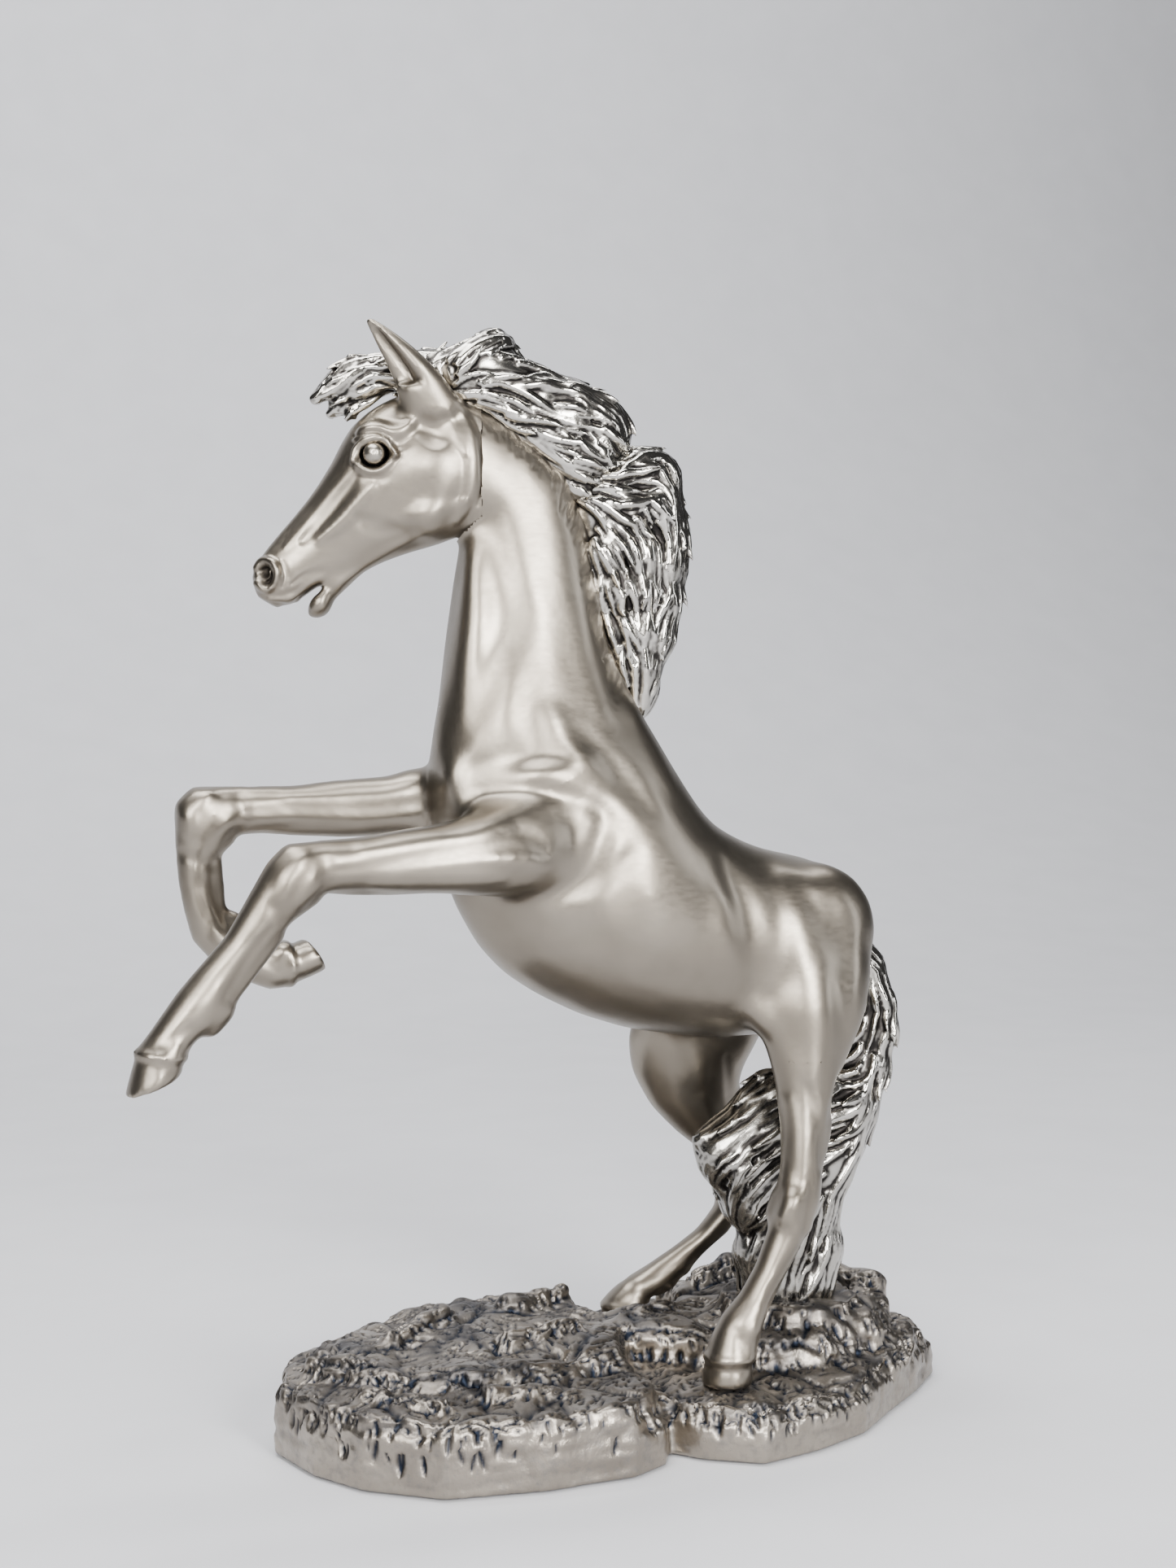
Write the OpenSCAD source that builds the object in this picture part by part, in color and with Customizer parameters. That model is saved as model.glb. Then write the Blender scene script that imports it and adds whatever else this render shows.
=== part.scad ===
// Rearing horse statuette: hollow and solid castings doweled together and bolted to a rock base.
// Millimetres. The horse faces -X, its left side is -Y, and Z is up from the table.
// Side-view sections are written [x, z of one edge, x, z of the other edge, y, half width, egg].

/* [Castings] */
// Wall of the hollow body and neck castings
wall = 4; // [3:0.5:5]
// Corners round each section of the body, neck and head
body_sides = 20; // [16:2:28]
// Corners round each section of a leg
leg_sides = 12; // [10:2:16]
// Turn of the head towards the horse's right, in degrees
head_yaw = 15; // [10:1:20]

/* [Seams] */
// Diameter of the steel dowels in the body seams
dowel_d = 5; // [4:0.5:5]
// Diameter of the pins in the hooves, the mane and the forelock
pin_d = 3; // [2:0.5:3]
// Total clearance round every dowel and pin
dowel_gap = 0.2; // [0.1:0.1:0.3]

/* [Base] */
// Height at which the rim of the rock casting starts above the table
rim_lift = 0.8; // [0.5:0.1:1]
// Height of the broad lower ledge
ledge_top = 20; // [19:0.5:21]
// Thickness of the felt pad
felt_t = 1.6; // [1.4:0.1:2]
// Thickness of the closing plate
plate_t = 2; // [1.5:0.1:2.4]

/* [Fasteners] */
// Diameter of the three studs that hold the horse down
stud_d = 5; // [4:0.5:5]
// Width across the corners of their nuts
nut_d = 9.2; // [8.5:0.1:10]
// Diameter of the plate screws
screw_d = 3; // [2.5:0.5:3]

/* [Hidden] */

satin = "#c9c1b4";
bright = "#d8d4ca";
dark = "#7d7a76";
steel = "#8f9296";
far = 300;

// ---------- seams: [point on the seam, turn of its outward direction from +Z towards +X] ----------
neck_seam = [[-28, 0, 262], -10];
head_seam = [[-46, 0, 352], -90];
throat_seam = [[-46, 0, 331], -45];
left_fore_seam = [[-72, -30, 210], -90];
right_fore_seam = [[-76, 21.5, 227], -90];
left_hind_seam = [[70, -33, 113], 187];
right_hind_seam = [[57, 34, 104], 140];
left_fore_coronet = [[-166.5, -32, 148.5], 190];
right_fore_coronet = [[-110, 26, 170], 82];
left_hind_coronet = [[34.5, -40, 30], 180];
right_hind_coronet = [[30, 46, 27], 180];
// The eyes in the head's own frame: place, half spacing and radii of the bead and its socket
eye_spot = [-84, 0, 351.5];
eye_out = 13.2;
eye_r = 3.8;
socket_r = 4.2;
nostril = [-124, 6, 310];
nostril_r = 2.2;
mane_split = [[-50, 0, 385], 90];
lower_split = [[0, 0, 352], 150];
tail_seat = 40;

// ---------- sections ----------
trunk = [
    [108, 176, 105, 160, 0, 9, 0],
    [106, 187, 98, 148, 0, 22, 0],
    [99, 199, 82, 141, 0, 31, 0],
    [84, 207, 64, 139, 0, 34, 0.05],
    [65, 211, 46, 139, 0, 34, 0.05],
    [44, 221, 10, 144, 0, 36, 0],
    [32, 236, -24, 158, 0, 37, 0],
    [22, 252, -46, 176, 0, 34, 0.05],
    [12, 269, -61, 207, 0, 29, 0],
    [3, 290, -64, 247, 0, 22, -0.1],
    [0, 310, -60, 272, 0, 18, -0.1],
    [-5, 332, -55, 300, 0, 15, 0],
    [-15, 350, -51, 319, 0, 13.5, 0],
    [-30, 365, -50, 325, 0, 13, 0],
    [-46, 373, -55, 329, 0, 12.5, 0],
    [-56, 374, -59, 331, 0, 11, 0]];
head = [
    [-46, 372, -42, 344, 0, 10, 0],
    [-56, 376, -46, 333, 0, 13, -0.1],
    [-67, 376, -50, 326, 0, 14, -0.05],
    [-79, 373, -60, 321, 0, 14.5, 0.05],
    [-92, 363, -70, 318, 0, 14, 0.2],
    [-99, 350, -81, 314, 0, 11.5, 0.15],
    [-108, 336, -91, 309, 0, 9, 0.05],
    [-117, 325, -101, 305, 0, 8, 0],
    [-124, 316, -108, 303, 0, 8, 0],
    [-127, 309, -114, 300, 0, 7.5, 0],
    [-125, 302, -118, 298, 0, 5, 0]];
left_fore = [
    [-24, 232, -24, 200, -22, 12, 0],
    [-40, 230, -36, 195, -25, 13.5, 0],
    [-56, 227, -53, 196, -28, 13, 0],
    [-77, 222, -77, 198, -30, 11, 0],
    [-97, 219, -97, 200, -31, 9, 0],
    [-113, 218, -111, 200, -32, 8, 0],
    [-125, 217, -114, 197, -32, 9, 0],
    [-131, 211, -118, 195, -32, 9, 0],
    [-138, 199, -124, 189, -32, 7.5, 0],
    [-145, 187, -132, 180, -32, 6.3, 0],
    [-154, 177, -140, 170, -32, 6.5, 0],
    [-161, 169, -146, 161, -32, 7.6, 0],
    [-166, 162, -151, 156, -32, 7.4, 0],
    [-171, 155, -156, 151, -32, 7.2, 0],
    [-175, 150, -158, 147, -32, 8.6, 0]];
right_fore = [
    [-38, 242, -38, 210, 13, 13, 0],
    [-50, 240, -50, 213, 16, 13, 0],
    [-67, 239, -66, 215, 20, 12, 0],
    [-88, 236, -88, 216, 23, 10, 0],
    [-111, 235, -111, 218, 25, 8.5, 0],
    [-130, 235, -128, 217, 26, 8, 0],
    [-145, 235, -133, 215, 26, 9, 0],
    [-151, 229, -136, 211, 26, 8.5, 0],
    [-151, 215, -137, 206, 26, 6.8, 0],
    [-150, 202, -138, 200, 26, 6.2, 0],
    [-148, 191, -136, 193, 26, 6.6, 0],
    [-145, 180, -132, 186, 26, 7.5, 0],
    [-137, 171, -126, 181, 26, 7.4, 0],
    [-127, 165, -121, 179, 26, 7.2, 0],
    [-117, 161, -115, 178, 26, 7.6, 0],
    [-109, 162, -111, 178, 26, 8.6, 0]];
left_hind = [
    [60, 196, 101, 186, -16, 15, 0],
    [53, 172, 103, 165, -20, 16.5, 0],
    [49, 155, 98, 149, -24, 15.5, 0],
    [55, 140, 91, 137, -27, 12.5, 0],
    [58, 125, 84, 123, -30, 10.5, 0],
    [59, 110, 79, 107, -33, 8.8, 0],
    [58, 97, 75, 93, -35, 7.6, 0],
    [55, 84, 73, 81, -37, 7.6, 0],
    [51, 73, 65, 69, -38, 6.6, 0],
    [46, 62, 58, 58, -39, 6, 0],
    [39, 52, 52, 48, -40, 6.3, 0],
    [32, 45, 50, 41, -40, 8, 0],
    [28, 38, 46, 36, -40, 8.3, 0],
    [25, 30, 44, 30, -40, 9.4, 0]];
right_hind = [
    [58, 196, 101, 186, 15, 16, 0],
    [36, 172, 96, 168, 19, 18, 0],
    [26, 150, 86, 150, 24, 17, 0],
    [23, 136, 81, 135, 28, 16, 0],
    [26, 122, 75, 123, 31, 14.5, 0],
    [35, 108, 72, 111, 33, 12.5, 0],
    [47, 97, 75, 103, 35, 10.5, 0],
    [60, 87, 81, 94, 36, 9, 0],
    [68, 78, 86, 84, 37, 8.2, 0],
    [67, 66, 85, 70, 38, 8, 0],
    [59, 56, 73, 53, 40, 6.8, 0],
    [49, 49, 61, 43, 42, 6.2, 0],
    [38, 42, 51, 36, 44, 6.8, 0],
    [29, 37, 45, 32, 45, 8, 0],
    [22, 31, 40, 30, 46, 8.6, 0],
    [20, 27, 39, 27, 46, 9.4, 0]];
left_fore_hoof_walls = [
    [-174, 149.8, -159, 147.2, -32, 7.8, 0],
    [-176, 143, -159, 143, -32, 8.6, 0],
    [-178, 135, -161, 141, -32, 9, 0]];
right_fore_hoof_walls = [
    [-109.1, 163, -110.9, 177, 26, 7.8, 0],
    [-103, 165, -107, 178.5, 26, 8.6, 0],
    [-96, 168, -104, 180, 26, 9, 0]];
left_hind_hoof_walls = [
    [26, 30, 43, 30, -40, 8.8, 0],
    [25, 25, 43, 25, -40, 9.6, 0],
    [24, 20, 43, 20, -40, 10, 0]];
right_hind_hoof_walls = [
    [21, 27, 38, 27, 46, 8.8, 0],
    [20, 22, 38, 22, 46, 9.6, 0],
    [19, 18, 38, 18, 46, 10, 0]];

// ---------- hair: [root x, z, bend x, z, tip x, z, y at root, y at tip, radius] ----------
forelock_locks = [
    [-60, 374, -84, 387, -104, 372, 1, 11, 4.5],
    [-58, 376, -78, 391, -96, 379, 4, 14, 4.5],
    [-56, 378, -72, 393, -87, 386, 2, 6, 4.5],
    [-62, 374, -82, 383, -98, 367, 5, 15, 4],
    [-62, 374, -78, 386, -93, 367, 2, 6, 4],
    [-54, 378, -66, 391, -77, 388, 4, 8, 4.5]];
upper_locks = [
    [-48, 376, -54, 392, -66, 388, -3, -7, 5],
    [-48, 376, -48, 396, -56, 393, 3, 1, 5],
    [-44, 374, -40, 400, -46, 396, -2, 0, 5],
    [-42, 372, -32, 398, -38, 391, -7, -10, 5],
    [-38, 370, -24, 394, -27, 383, 4, 7, 6],
    [-34, 366, -20, 386, -14, 380, -5, -10, 6],
    [-30, 364, -14, 386, -6, 378, 3, 4, 6],
    [-26, 360, -6, 384, 3, 374, -4, -8, 6],
    [-20, 354, 2, 380, 7, 368, 5, 8, 6],
    [-16, 348, 4, 370, 7, 360, -6, -11, 6],
    [-14, 344, 0, 362, 6, 352, 6, 11, 6]];
lower_locks = [
    [-10, 342, 12, 364, 18, 350, -2, -3, 6],
    [-9, 338, 22, 362, 27, 342, 4, 6, 6],
    [-8, 332, 28, 354, 29, 328, -6, -9, 6.5],
    [-6, 326, 26, 344, 27, 314, 3, 8, 6.5],
    [-4, 320, 24, 332, 26, 300, -6, -11, 6.5],
    [-4, 312, 20, 322, 22, 290, 4, 9, 6.5],
    [-4, 304, 16, 310, 16, 282, -7, -10, 6.5],
    [-2, 300, 14, 304, 16, 272, 2, 3, 6],
    [-2, 294, 12, 292, 14, 262, -3, -3, 5]];
outer_tail_locks = [
    [98, 176, 118, 172, 116, 150, 0, -2, 6],
    [98, 172, 124, 158, 117, 130, -3, -7, 7],
    [98, 166, 126, 146, 108, 110, 4, 8, 7.5],
    [100, 154, 122, 128, 100, 94, -4, -9, 8],
    [96, 144, 112, 116, 88, 80, 5, 9, 8.5],
    [96, 128, 102, 98, 84, 62, -3, -7, 9],
    [90, 112, 90, 86, 85, 34, 3, 4, 9.3],
    [88, 106, 86, 76, 89, 33, -4, -5, 7.2]];
inner_tail_locks = [
    [90, 118, 66, 130, 50, 110, -2, -6, 8],
    [90, 112, 62, 120, 48, 98, 4, 6, 8.5],
    [90, 104, 58, 114, 50, 86, -5, -9, 8.5],
    [88, 98, 58, 102, 50, 74, 3, 4, 9],
    [86, 92, 62, 90, 54, 62, -4, -9, 9],
    [84, 84, 66, 76, 62, 45, 4, 6, 9.6],
    [86, 88, 80, 66, 71, 33, -4, -5, 11.2],
    [86, 84, 86, 64, 83, 32, 3, 3, 11.4]];

// ---------- rock base ----------
base_outline = [[-121, 4], [-114, -23], [-102, -43], [-79, -61], [-45, -66], [-12, -65],
    [2, -58], [8, -48], [16, -58], [34, -70], [58, -65], [82, -55], [103, -37], [122, -22],
    [142, -3], [144, 14], [136, 38], [120, 58], [92, 72], [55, 77], [15, 80], [-14, 79],
    [-54, 72], [-90, 53], [-111, 30]];
left_slab = [[-121, 4], [-114, -23], [-102, -43], [-79, -61], [-45, -66], [-12, -65], [0, -54], [6, -40],
    [4, 30], [-10, 79], [-54, 72], [-90, 53], [-111, 30]];
back_shelf = [[-98, -6], [-86, -24], [-56, -34], [-28, -30], [2, -22], [12, 2], [36, -12], [62, -18],
    [96, -12], [122, -2], [128, 14], [120, 46], [92, 64], [56, 68], [48, 60], [44, 34], [14, 32],
    [8, 70], [-14, 72], [-50, 64], [-80, 46], [-98, 24]];
hoof_well = [[10, 60], [16, 32], [44, 34], [52, 50], [46, 70], [28, 76]];
screw_spots = [[-88, 8], [-60, -44], [62, -48], [112, 6], [-30, 60], [78, 54]];
tail_stud_spot = [80, 4];
ceiling = 12;
shelf_ceiling = 19;
plate_top = felt_t + plate_t;
// Where each stud meets the inside of the rock: [x, y, z]
stud_feet = [[34, -40, ceiling], [30, 46, ceiling], [80, 4, shelf_ceiling]];
// Boulders: [x, y, z, radius] of each end
boulders = [
    [-96, -24, 26, 5, -74, -44, 25, 5],
    [-56, -40, 26, 5, -28, -46, 24, 5],
    [-104, 12, 28, 6, -92, -6, 29, 6],
    [-36, 0, 32, 6, -8, 8, 32, 6],
    [-74, 18, 32, 6, -50, 34, 33, 6],
    [-20, 40, 32, 6, 4, 52, 32, 6],
    [18, 18, 30, 5, 40, 22, 31, 5],
    [104, -16, 26, 9, 114, 4, 28, 10],
    [112, 30, 34, 10, 96, 48, 36, 9],
    [64, 50, 31, 7, 80, 54, 34, 8],
    [54, -22, 24, 7, 78, -28, 25, 7],
    [106, -30, 17, 5, 124, -8, 19, 6],
    [120, 10, 33, 8, 116, 34, 33, 9]];

function curve_row(a, b, c, d, t) =
    ((b * 2) + (c - a) * t + (a * 2 - b * 5 + c * 4 - d) * t * t + (b * 3 - a - c * 3 + d) * t * t * t) / 2;
function smoothed(rows, steps) = let (last = len(rows) - 1) [
    for (i = [0:last - 1], k = [0:steps - 1])
        curve_row(rows[max(i - 1, 0)], rows[i], rows[i + 1], rows[min(i + 2, last)], k / steps),
    rows[last]];
function ring(r, sides) = let (cx = (r[0] + r[2]) / 2, cz = (r[1] + r[3]) / 2) [
    for (k = [0:sides - 1]) let (a = 360 * k / sides)
        [cx + (r[0] - cx) * cos(a), r[4] + r[5] * sin(a) * (1 + r[6] * cos(a)), cz + (r[1] - cz) * cos(a)]];
function middle(r) = [(r[0] + r[2]) / 2, (r[1] + r[3]) / 2];
function runs_back(a, b) = let (v = middle(b) - middle(a))
    (a[0] - a[2]) * v[1] - (a[1] - a[3]) * v[0] < 0;
function inset(r, t) = let (dx = r[0] - r[2], dz = r[1] - r[3], l = norm([dx, dz]))
    [r[0] - dx / l * t, r[1] - dz / l * t, r[2] + dx / l * t, r[3] + dz / l * t, r[4], r[5] - t, r[6]];
function bend(a, b, c, t) = a * (1 - t) * (1 - t) + b * 2 * t * (1 - t) + c * t * t;
function unit(v) = v / norm(v);
// The outline moved inwards by t, corner by corner
function inset_outline(p, t) = let (n = len(p)) [for (i = [0:n - 1])
    let (u = unit(p[i] - p[(i + n - 1) % n]), v = unit(p[(i + 1) % n] - p[i]),
        a = [-u[1], u[0]], b = [-v[1], v[0]])
        p[i] + (a + b) * t / (1 + a * b)];
function turned(list) = [for (i = [len(list) - 1:-1:0]) list[i]];

// A closed skin through a row of sections
module loft(rows, sides, steps = 2) {
    drawn = smoothed(rows, steps);
    way = runs_back(drawn[0], drawn[1]) ? turned(drawn) : drawn;
    n = len(way);
    points = [for (r = way) each ring(r, sides)];
    walls = [for (i = [0:n - 2], k = [0:sides - 1])
        let (a = i * sides + k, b = i * sides + (k + 1) % sides)
            each [[a, a + sides, b + sides], [a, b + sides, b]]];
    start = [for (k = [0:sides - 1]) k];
    end = [for (k = [sides - 1:-1:0]) (n - 1) * sides + k];
    polyhedron(points, concat(walls, [start, end]), convexity = 6);
}
// One tapering lock of hair on a bent line
module lock(l) {
    n = 4;
    a = [l[0], l[1]];
    b = [l[2], l[3]];
    c = [l[4], l[5]];
    path = [for (i = [0:n]) bend(a, b, c, i / n)];
    rows = [for (i = [0:n])
        let (v = path[min(i + 1, n)] - path[max(i - 1, 0)], s = [-v[1], v[0]] / norm(v),
            r = l[8] * (1 - 0.75 * pow(i / n, 2)), y = l[6] + (l[7] - l[6]) * i / n)
            [path[i][0] + s[0] * r, path[i][1] + s[1] * r, path[i][0] - s[0] * r, path[i][1] - s[1] * r,
                y, r, 0]];
    loft(rows, 7, 1);
}
module muscle(a, ra, b, rb) {
    hull() {
        translate(a) sphere(ra, $fn = 10);
        translate(b) sphere(rb, $fn = 10);
    }
}
// A flat oval muscle, turned about the Y axis
module pad(p, radii, turn) {
    translate(p) rotate([0, turn, 0]) hull() scale(radii) sphere(1, $fn = 14);
}
module at_seam(s) {
    translate(s[0]) rotate([0, s[1], 0]) children();
}
module beyond(s) {
    at_seam(s) translate([-far / 2, -far / 2, 0]) cube(far);
}
module below(s) {
    at_seam(s) translate([-far / 2, -far / 2, -far]) cube(far);
}
// Only the stretch just past a seam, for a limb that bends back over itself
module just_beyond(s, size = 40) {
    at_seam(s) translate([-size / 2, -size / 2, 0]) cube(size);
}
module dowels(s, spots, d, l) {
    at_seam(s) for (p = spots) translate([p[0], p[1], -l / 2]) cylinder(d = d, h = l, $fn = 16);
}
module head_wedge() {
    head_turn() intersection() {
        beyond(head_seam);
        beyond(throat_seam);
    }
}
module head_turn() {
    translate([-50, 0, 0]) rotate([0, 0, -head_yaw]) translate([50, 0, 0]) children();
}

// Dowel and pin sets, drawn wider for the holes
module neck_dowel_set(gap = 0) dowels(neck_seam, [[31, 0], [-31, 0]], pin_d + gap, 14);
module head_dowel_set(gap = 0) head_turn() dowels(head_seam, [[-8, 0], [12, 0]], dowel_d + gap, 16);
module foreleg_dowel_set(gap = 0) {
    dowels(left_fore_seam, [[0, 0]], dowel_d + gap, 24);
    dowels(right_fore_seam, [[0, 0]], dowel_d + gap, 24);
}
module hindleg_dowel_set(gap = 0) {
    dowels(left_hind_seam, [[0, 0]], dowel_d + gap, 22);
    dowels(right_hind_seam, [[0, 0]], dowel_d + gap, 22);
}
module hoof_pin_set(gap = 0) {
    dowels(left_fore_coronet, [[0, 0]], pin_d + gap, 9);
    dowels(right_fore_coronet, [[0, 0]], pin_d + gap, 9);
}
module mane_pin_set(gap = 0) {
    for (p = [[-40, 366, 30], [-18, 348, 40], [-6, 322, 60], [-2, 300, 80], [-66, 374, -10]])
        translate([p[0], 0, p[1]]) rotate([0, p[2], 0]) translate([0, 0, -5])
            cylinder(d = pin_d + gap, h = 12, $fn = 16);
}
module stud_hole(p, z0, z1, gap = 0) {
    translate([p[0], p[1], z0]) cylinder(d = stud_d + gap, h = z1 - z0, $fn = 24);
}
module left_hind_stud_line(gap = 0) stud_hole([34, -40], 4, 40, gap);
module right_hind_stud_line(gap = 0) stud_hole([30, 46], 4, 33, gap);
module tail_stud_line(gap = 0) stud_hole(tail_stud_spot, 9, 62, gap);

// Muscles that lie over the trunk, in left and right pairs
module shoulders(s) {
    pad([-24, s * 17, 237], [32, 14, 15], -28);
    pad([-41, s * 20, 216], [20, 13, 17], 10);
    pad([-54, s * 9, 233], [10, 9, 18], 0);
    pad([0, s * 9, 256], [15, 12, 12], -60);
}
module haunches(s) {
    pad([82, s * 15, 180], [25, 19, 26], 0);
    pad([66, s * 19, 168], [15, 17, 24], 0);
}
module neck_muscles(s) {
    muscle([-20, s * 4, 345], 8, [-30, s * 7, 300], 10);
    muscle([-30, s * 7, 300], 10, [-34, s * 10, 250], 13);
    muscle([-46, s * 4, 322], 7, [-50, s * 7, 250], 12);
    muscle([-16, s * 3, 320], 9, [-14, s * 7, 262], 14);
}
module trunk_form() {
    loft(trunk, body_sides, 2);
    for (s = [-1, 1]) {
        shoulders(s);
        haunches(s);
        neck_muscles(s);
    }
    pad([57, -25, 156], [10, 9, 15], 0);
    pad([38, 25, 156], [16, 12, 18], 0);
}
module body_casting() {
    color(satin) difference() {
        union() {
            trunk_form();
            difference() {
                loft(left_fore, leg_sides, 1);
                beyond(left_fore_seam);
            }
            difference() {
                loft(right_fore, leg_sides, 1);
                beyond(right_fore_seam);
            }
            difference() {
                loft(left_hind, leg_sides, 1);
                beyond(left_hind_seam);
            }
            difference() {
                loft(right_hind, leg_sides, 1);
                beyond(right_hind_seam);
            }
        }
        beyond(neck_seam);
        loft([for (i = [2:12]) inset(trunk[i], wall)], body_sides, 1);
        neck_dowel_set(dowel_gap);
        foreleg_dowel_set(dowel_gap);
        hindleg_dowel_set(dowel_gap);
    }
}
module neck_casting() {
    color(satin) difference() {
        union() {
            trunk_form();
            head_form();
        }
        below(neck_seam);
        head_wedge();
        loft([for (i = [6:12]) inset(trunk[i], wall)], body_sides, 1);
        neck_dowel_set(dowel_gap);
        head_dowel_set(dowel_gap);
        mane_pin_set(dowel_gap);
    }
}
module ear(s) {
    difference() {
        loft([[-73, 362, -52, 368, s * 8, 6, 0], [-74.5, 368, -56, 375, s * 9.5, 6.2, 0],
            [-77, 375, -61, 381, s * 10.6, 5.8, 0], [-80, 382, -67, 387, s * 11.6, 5.2, 0],
            [-84, 391, -76, 394, s * 12.4, 3.6, 0], [-87, 398, -84.6, 399, s * 12.8, 1, 0]], 12, 1);
        loft([[-74, 375, -67, 378, s * 14, 3, 0], [-80, 383, -72, 386, s * 16, 4, 0],
            [-85, 392, -79, 394, s * 15.4, 2.6, 0], [-87, 397, -84, 398, s * 14.6, 1.4, 0]], 10, 1);
    }
}
module head_form() {
    head_turn() {
        loft(head, body_sides);
        ear(-1);
        ear(1);
        for (s = [-1, 1]) {
            muscle([-60, s * 6, 341], 8.5, [-66, s * 5, 331], 9.5);
            muscle([-84, s * 8.5, 358], 5.5, [-88, s * 9, 350], 4.5);
            muscle([-84, s * 9, 343], 4, [-104, s * 6, 324], 3);
            muscle([-119, s * 4.5, 311], 4.5, [-117, s * 4.5, 307], 4);
        }
        muscle([-92, 0, 313], 5, [-106, 0, 301], 6);
    }
}
// The open mouth, from its corner to the gap between the lips
module mouth_slot() {
    hull() {
        translate([-102, 0, 306.5]) rotate([90, 0, 0]) cylinder(d = 0.8, h = 30, center = true, $fn = 12);
        translate([-117, 0, 294]) rotate([90, 0, 0]) cylinder(d = 3.4, h = 30, center = true, $fn = 12);
        translate([-112, 0, 290]) rotate([90, 0, 0]) cylinder(d = 3.4, h = 30, center = true, $fn = 12);
    }
}
module head_casting() {
    color(satin) difference() {
        intersection() {
            union() {
                head_form();
                trunk_form();
            }
            head_wedge();
        }
        head_turn() {
            mouth_slot();
            for (s = [-1, 1]) {
                translate(eye_spot + [0, s * (eye_out + 0.2), 0]) sphere(socket_r, $fn = 14);
                eye_stem(s, 2 + dowel_gap, 10);
                translate([nostril[0], s * nostril[1], nostril[2]]) sphere(nostril_r, $fn = 10);
            }
        }
        head_dowel_set(dowel_gap);
        mane_pin_set(dowel_gap);
    }
}
module eye_stem(s, d, l) {
    translate(eye_spot + [0, s * (eye_out - 3.2), 0]) rotate([90, 0, 0])
        cylinder(d = d, h = l, center = true, $fn = 24);
}
module eye(s) {
    color(dark) head_turn() union() {
        translate(eye_spot + [0, s * eye_out, 0]) sphere(eye_r, $fn = 32);
        eye_stem(s, 2, 7);
    }
}
module left_eye() eye(-1);
module right_eye() eye(1);

module left_foreleg() {
    color(satin) difference() {
        intersection() {
            union() {
                loft(left_fore, leg_sides, 1);
                muscle([-74, -31, 214], 9.5, [-104, -32, 210], 7);
                muscle([-78, -27, 204], 7, [-108, -30, 204], 5);
                muscle([-119, -36, 210], 4, [-127, -36, 204], 4);
                muscle([-119, -28, 210], 4, [-127, -28, 204], 4);
                muscle([-116, -32, 200], 4.5, [-124, -32, 194], 4);
                muscle([-128, -32, 187], 3.6, [-146, -32, 164], 3.6);
                muscle([-146, -32, 163], 5, [-150, -32, 157], 4);
                muscle([-163, -28, 151], 4.5, [-163, -36, 151], 4.5);
            }
            beyond(left_fore_seam);
        }
        just_beyond(left_fore_coronet);
        foreleg_dowel_set(dowel_gap);
        hoof_pin_set(dowel_gap);
    }
}
module right_foreleg() {
    color(satin) difference() {
        intersection() {
            union() {
                loft(right_fore, leg_sides, 1);
                muscle([-78, 22, 230], 9, [-108, 25, 228], 7);
                muscle([-80, 20, 222], 7, [-116, 25, 222], 5);
                muscle([-140, 30, 230], 4, [-146, 30, 224], 4);
                muscle([-140, 22, 230], 4, [-146, 22, 224], 4);
                muscle([-133, 26, 217], 4.5, [-138, 26, 212], 4);
                muscle([-137, 26, 208], 3.4, [-136, 26, 190], 3.6);
                muscle([-131, 26, 186], 5, [-126, 26, 182], 4);
                muscle([-113, 22, 175], 4.5, [-113, 30, 175], 4.5);
            }
            beyond(right_fore_seam);
        }
        just_beyond(right_fore_coronet);
        foreleg_dowel_set(dowel_gap);
        hoof_pin_set(dowel_gap);
    }
}
module left_hindleg() {
    color(satin) difference() {
        intersection() {
            union() {
                loft(left_hind, leg_sides, 1);
                muscle([70, -31, 124], 9, [66, -34, 100], 6.5);
                muscle([80, -32, 118], 5, [73, -36, 96], 3.6);
                muscle([72, -36, 92], 4, [70, -37, 80], 4);
                muscle([59, -41, 85], 4.4, [56, -41, 78], 4);
                muscle([59, -33, 85], 4.4, [56, -33, 78], 4);
                muscle([67, -38, 74], 3.4, [49, -40, 46], 3.6);
                muscle([47, -40, 44], 4.6, [44, -40, 38], 4);
                muscle([38, -45, 33], 4.5, [38, -35, 33], 4.5);
            }
            beyond(left_hind_seam);
        }
        just_beyond(left_hind_coronet);
        hindleg_dowel_set(dowel_gap);
        left_hind_stud_line(dowel_gap);
    }
}
module right_hindleg() {
    color(satin) difference() {
        intersection() {
            union() {
                loft(right_hind, leg_sides, 1);
                muscle([60, 34, 106], 9, [70, 36, 92], 7);
                muscle([72, 33, 110], 5, [80, 37, 92], 3.8);
                muscle([82, 37, 84], 4, [80, 38, 72], 4);
                muscle([73, 41, 76], 4.4, [71, 42, 68], 4);
                muscle([73, 33, 76], 4.4, [71, 34, 68], 4);
                muscle([76, 39, 62], 3.4, [54, 43, 40], 3.6);
                muscle([48, 44, 36], 4.6, [43, 45, 33], 4);
                muscle([33, 51, 30], 4.5, [33, 41, 30], 4.5);
            }
            beyond(right_hind_seam);
        }
        just_beyond(right_hind_coronet);
        hindleg_dowel_set(dowel_gap);
        right_hind_stud_line(dowel_gap);
    }
}
module left_fore_hoof() {
    color(satin) difference() {
        loft(left_fore_hoof_walls, 20, 1);
        hoof_pin_set(dowel_gap);
    }
}
module right_fore_hoof() {
    color(satin) difference() {
        loft(right_fore_hoof_walls, 20, 1);
        hoof_pin_set(dowel_gap);
    }
}
module left_hind_hoof() {
    color(satin) difference() {
        loft(left_hind_hoof_walls, 20, 1);
        left_hind_stud_line(dowel_gap);
    }
}
module right_hind_hoof() {
    color(satin) difference() {
        loft(right_hind_hoof_walls, 20, 1);
        right_hind_stud_line(dowel_gap);
    }
}

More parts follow.
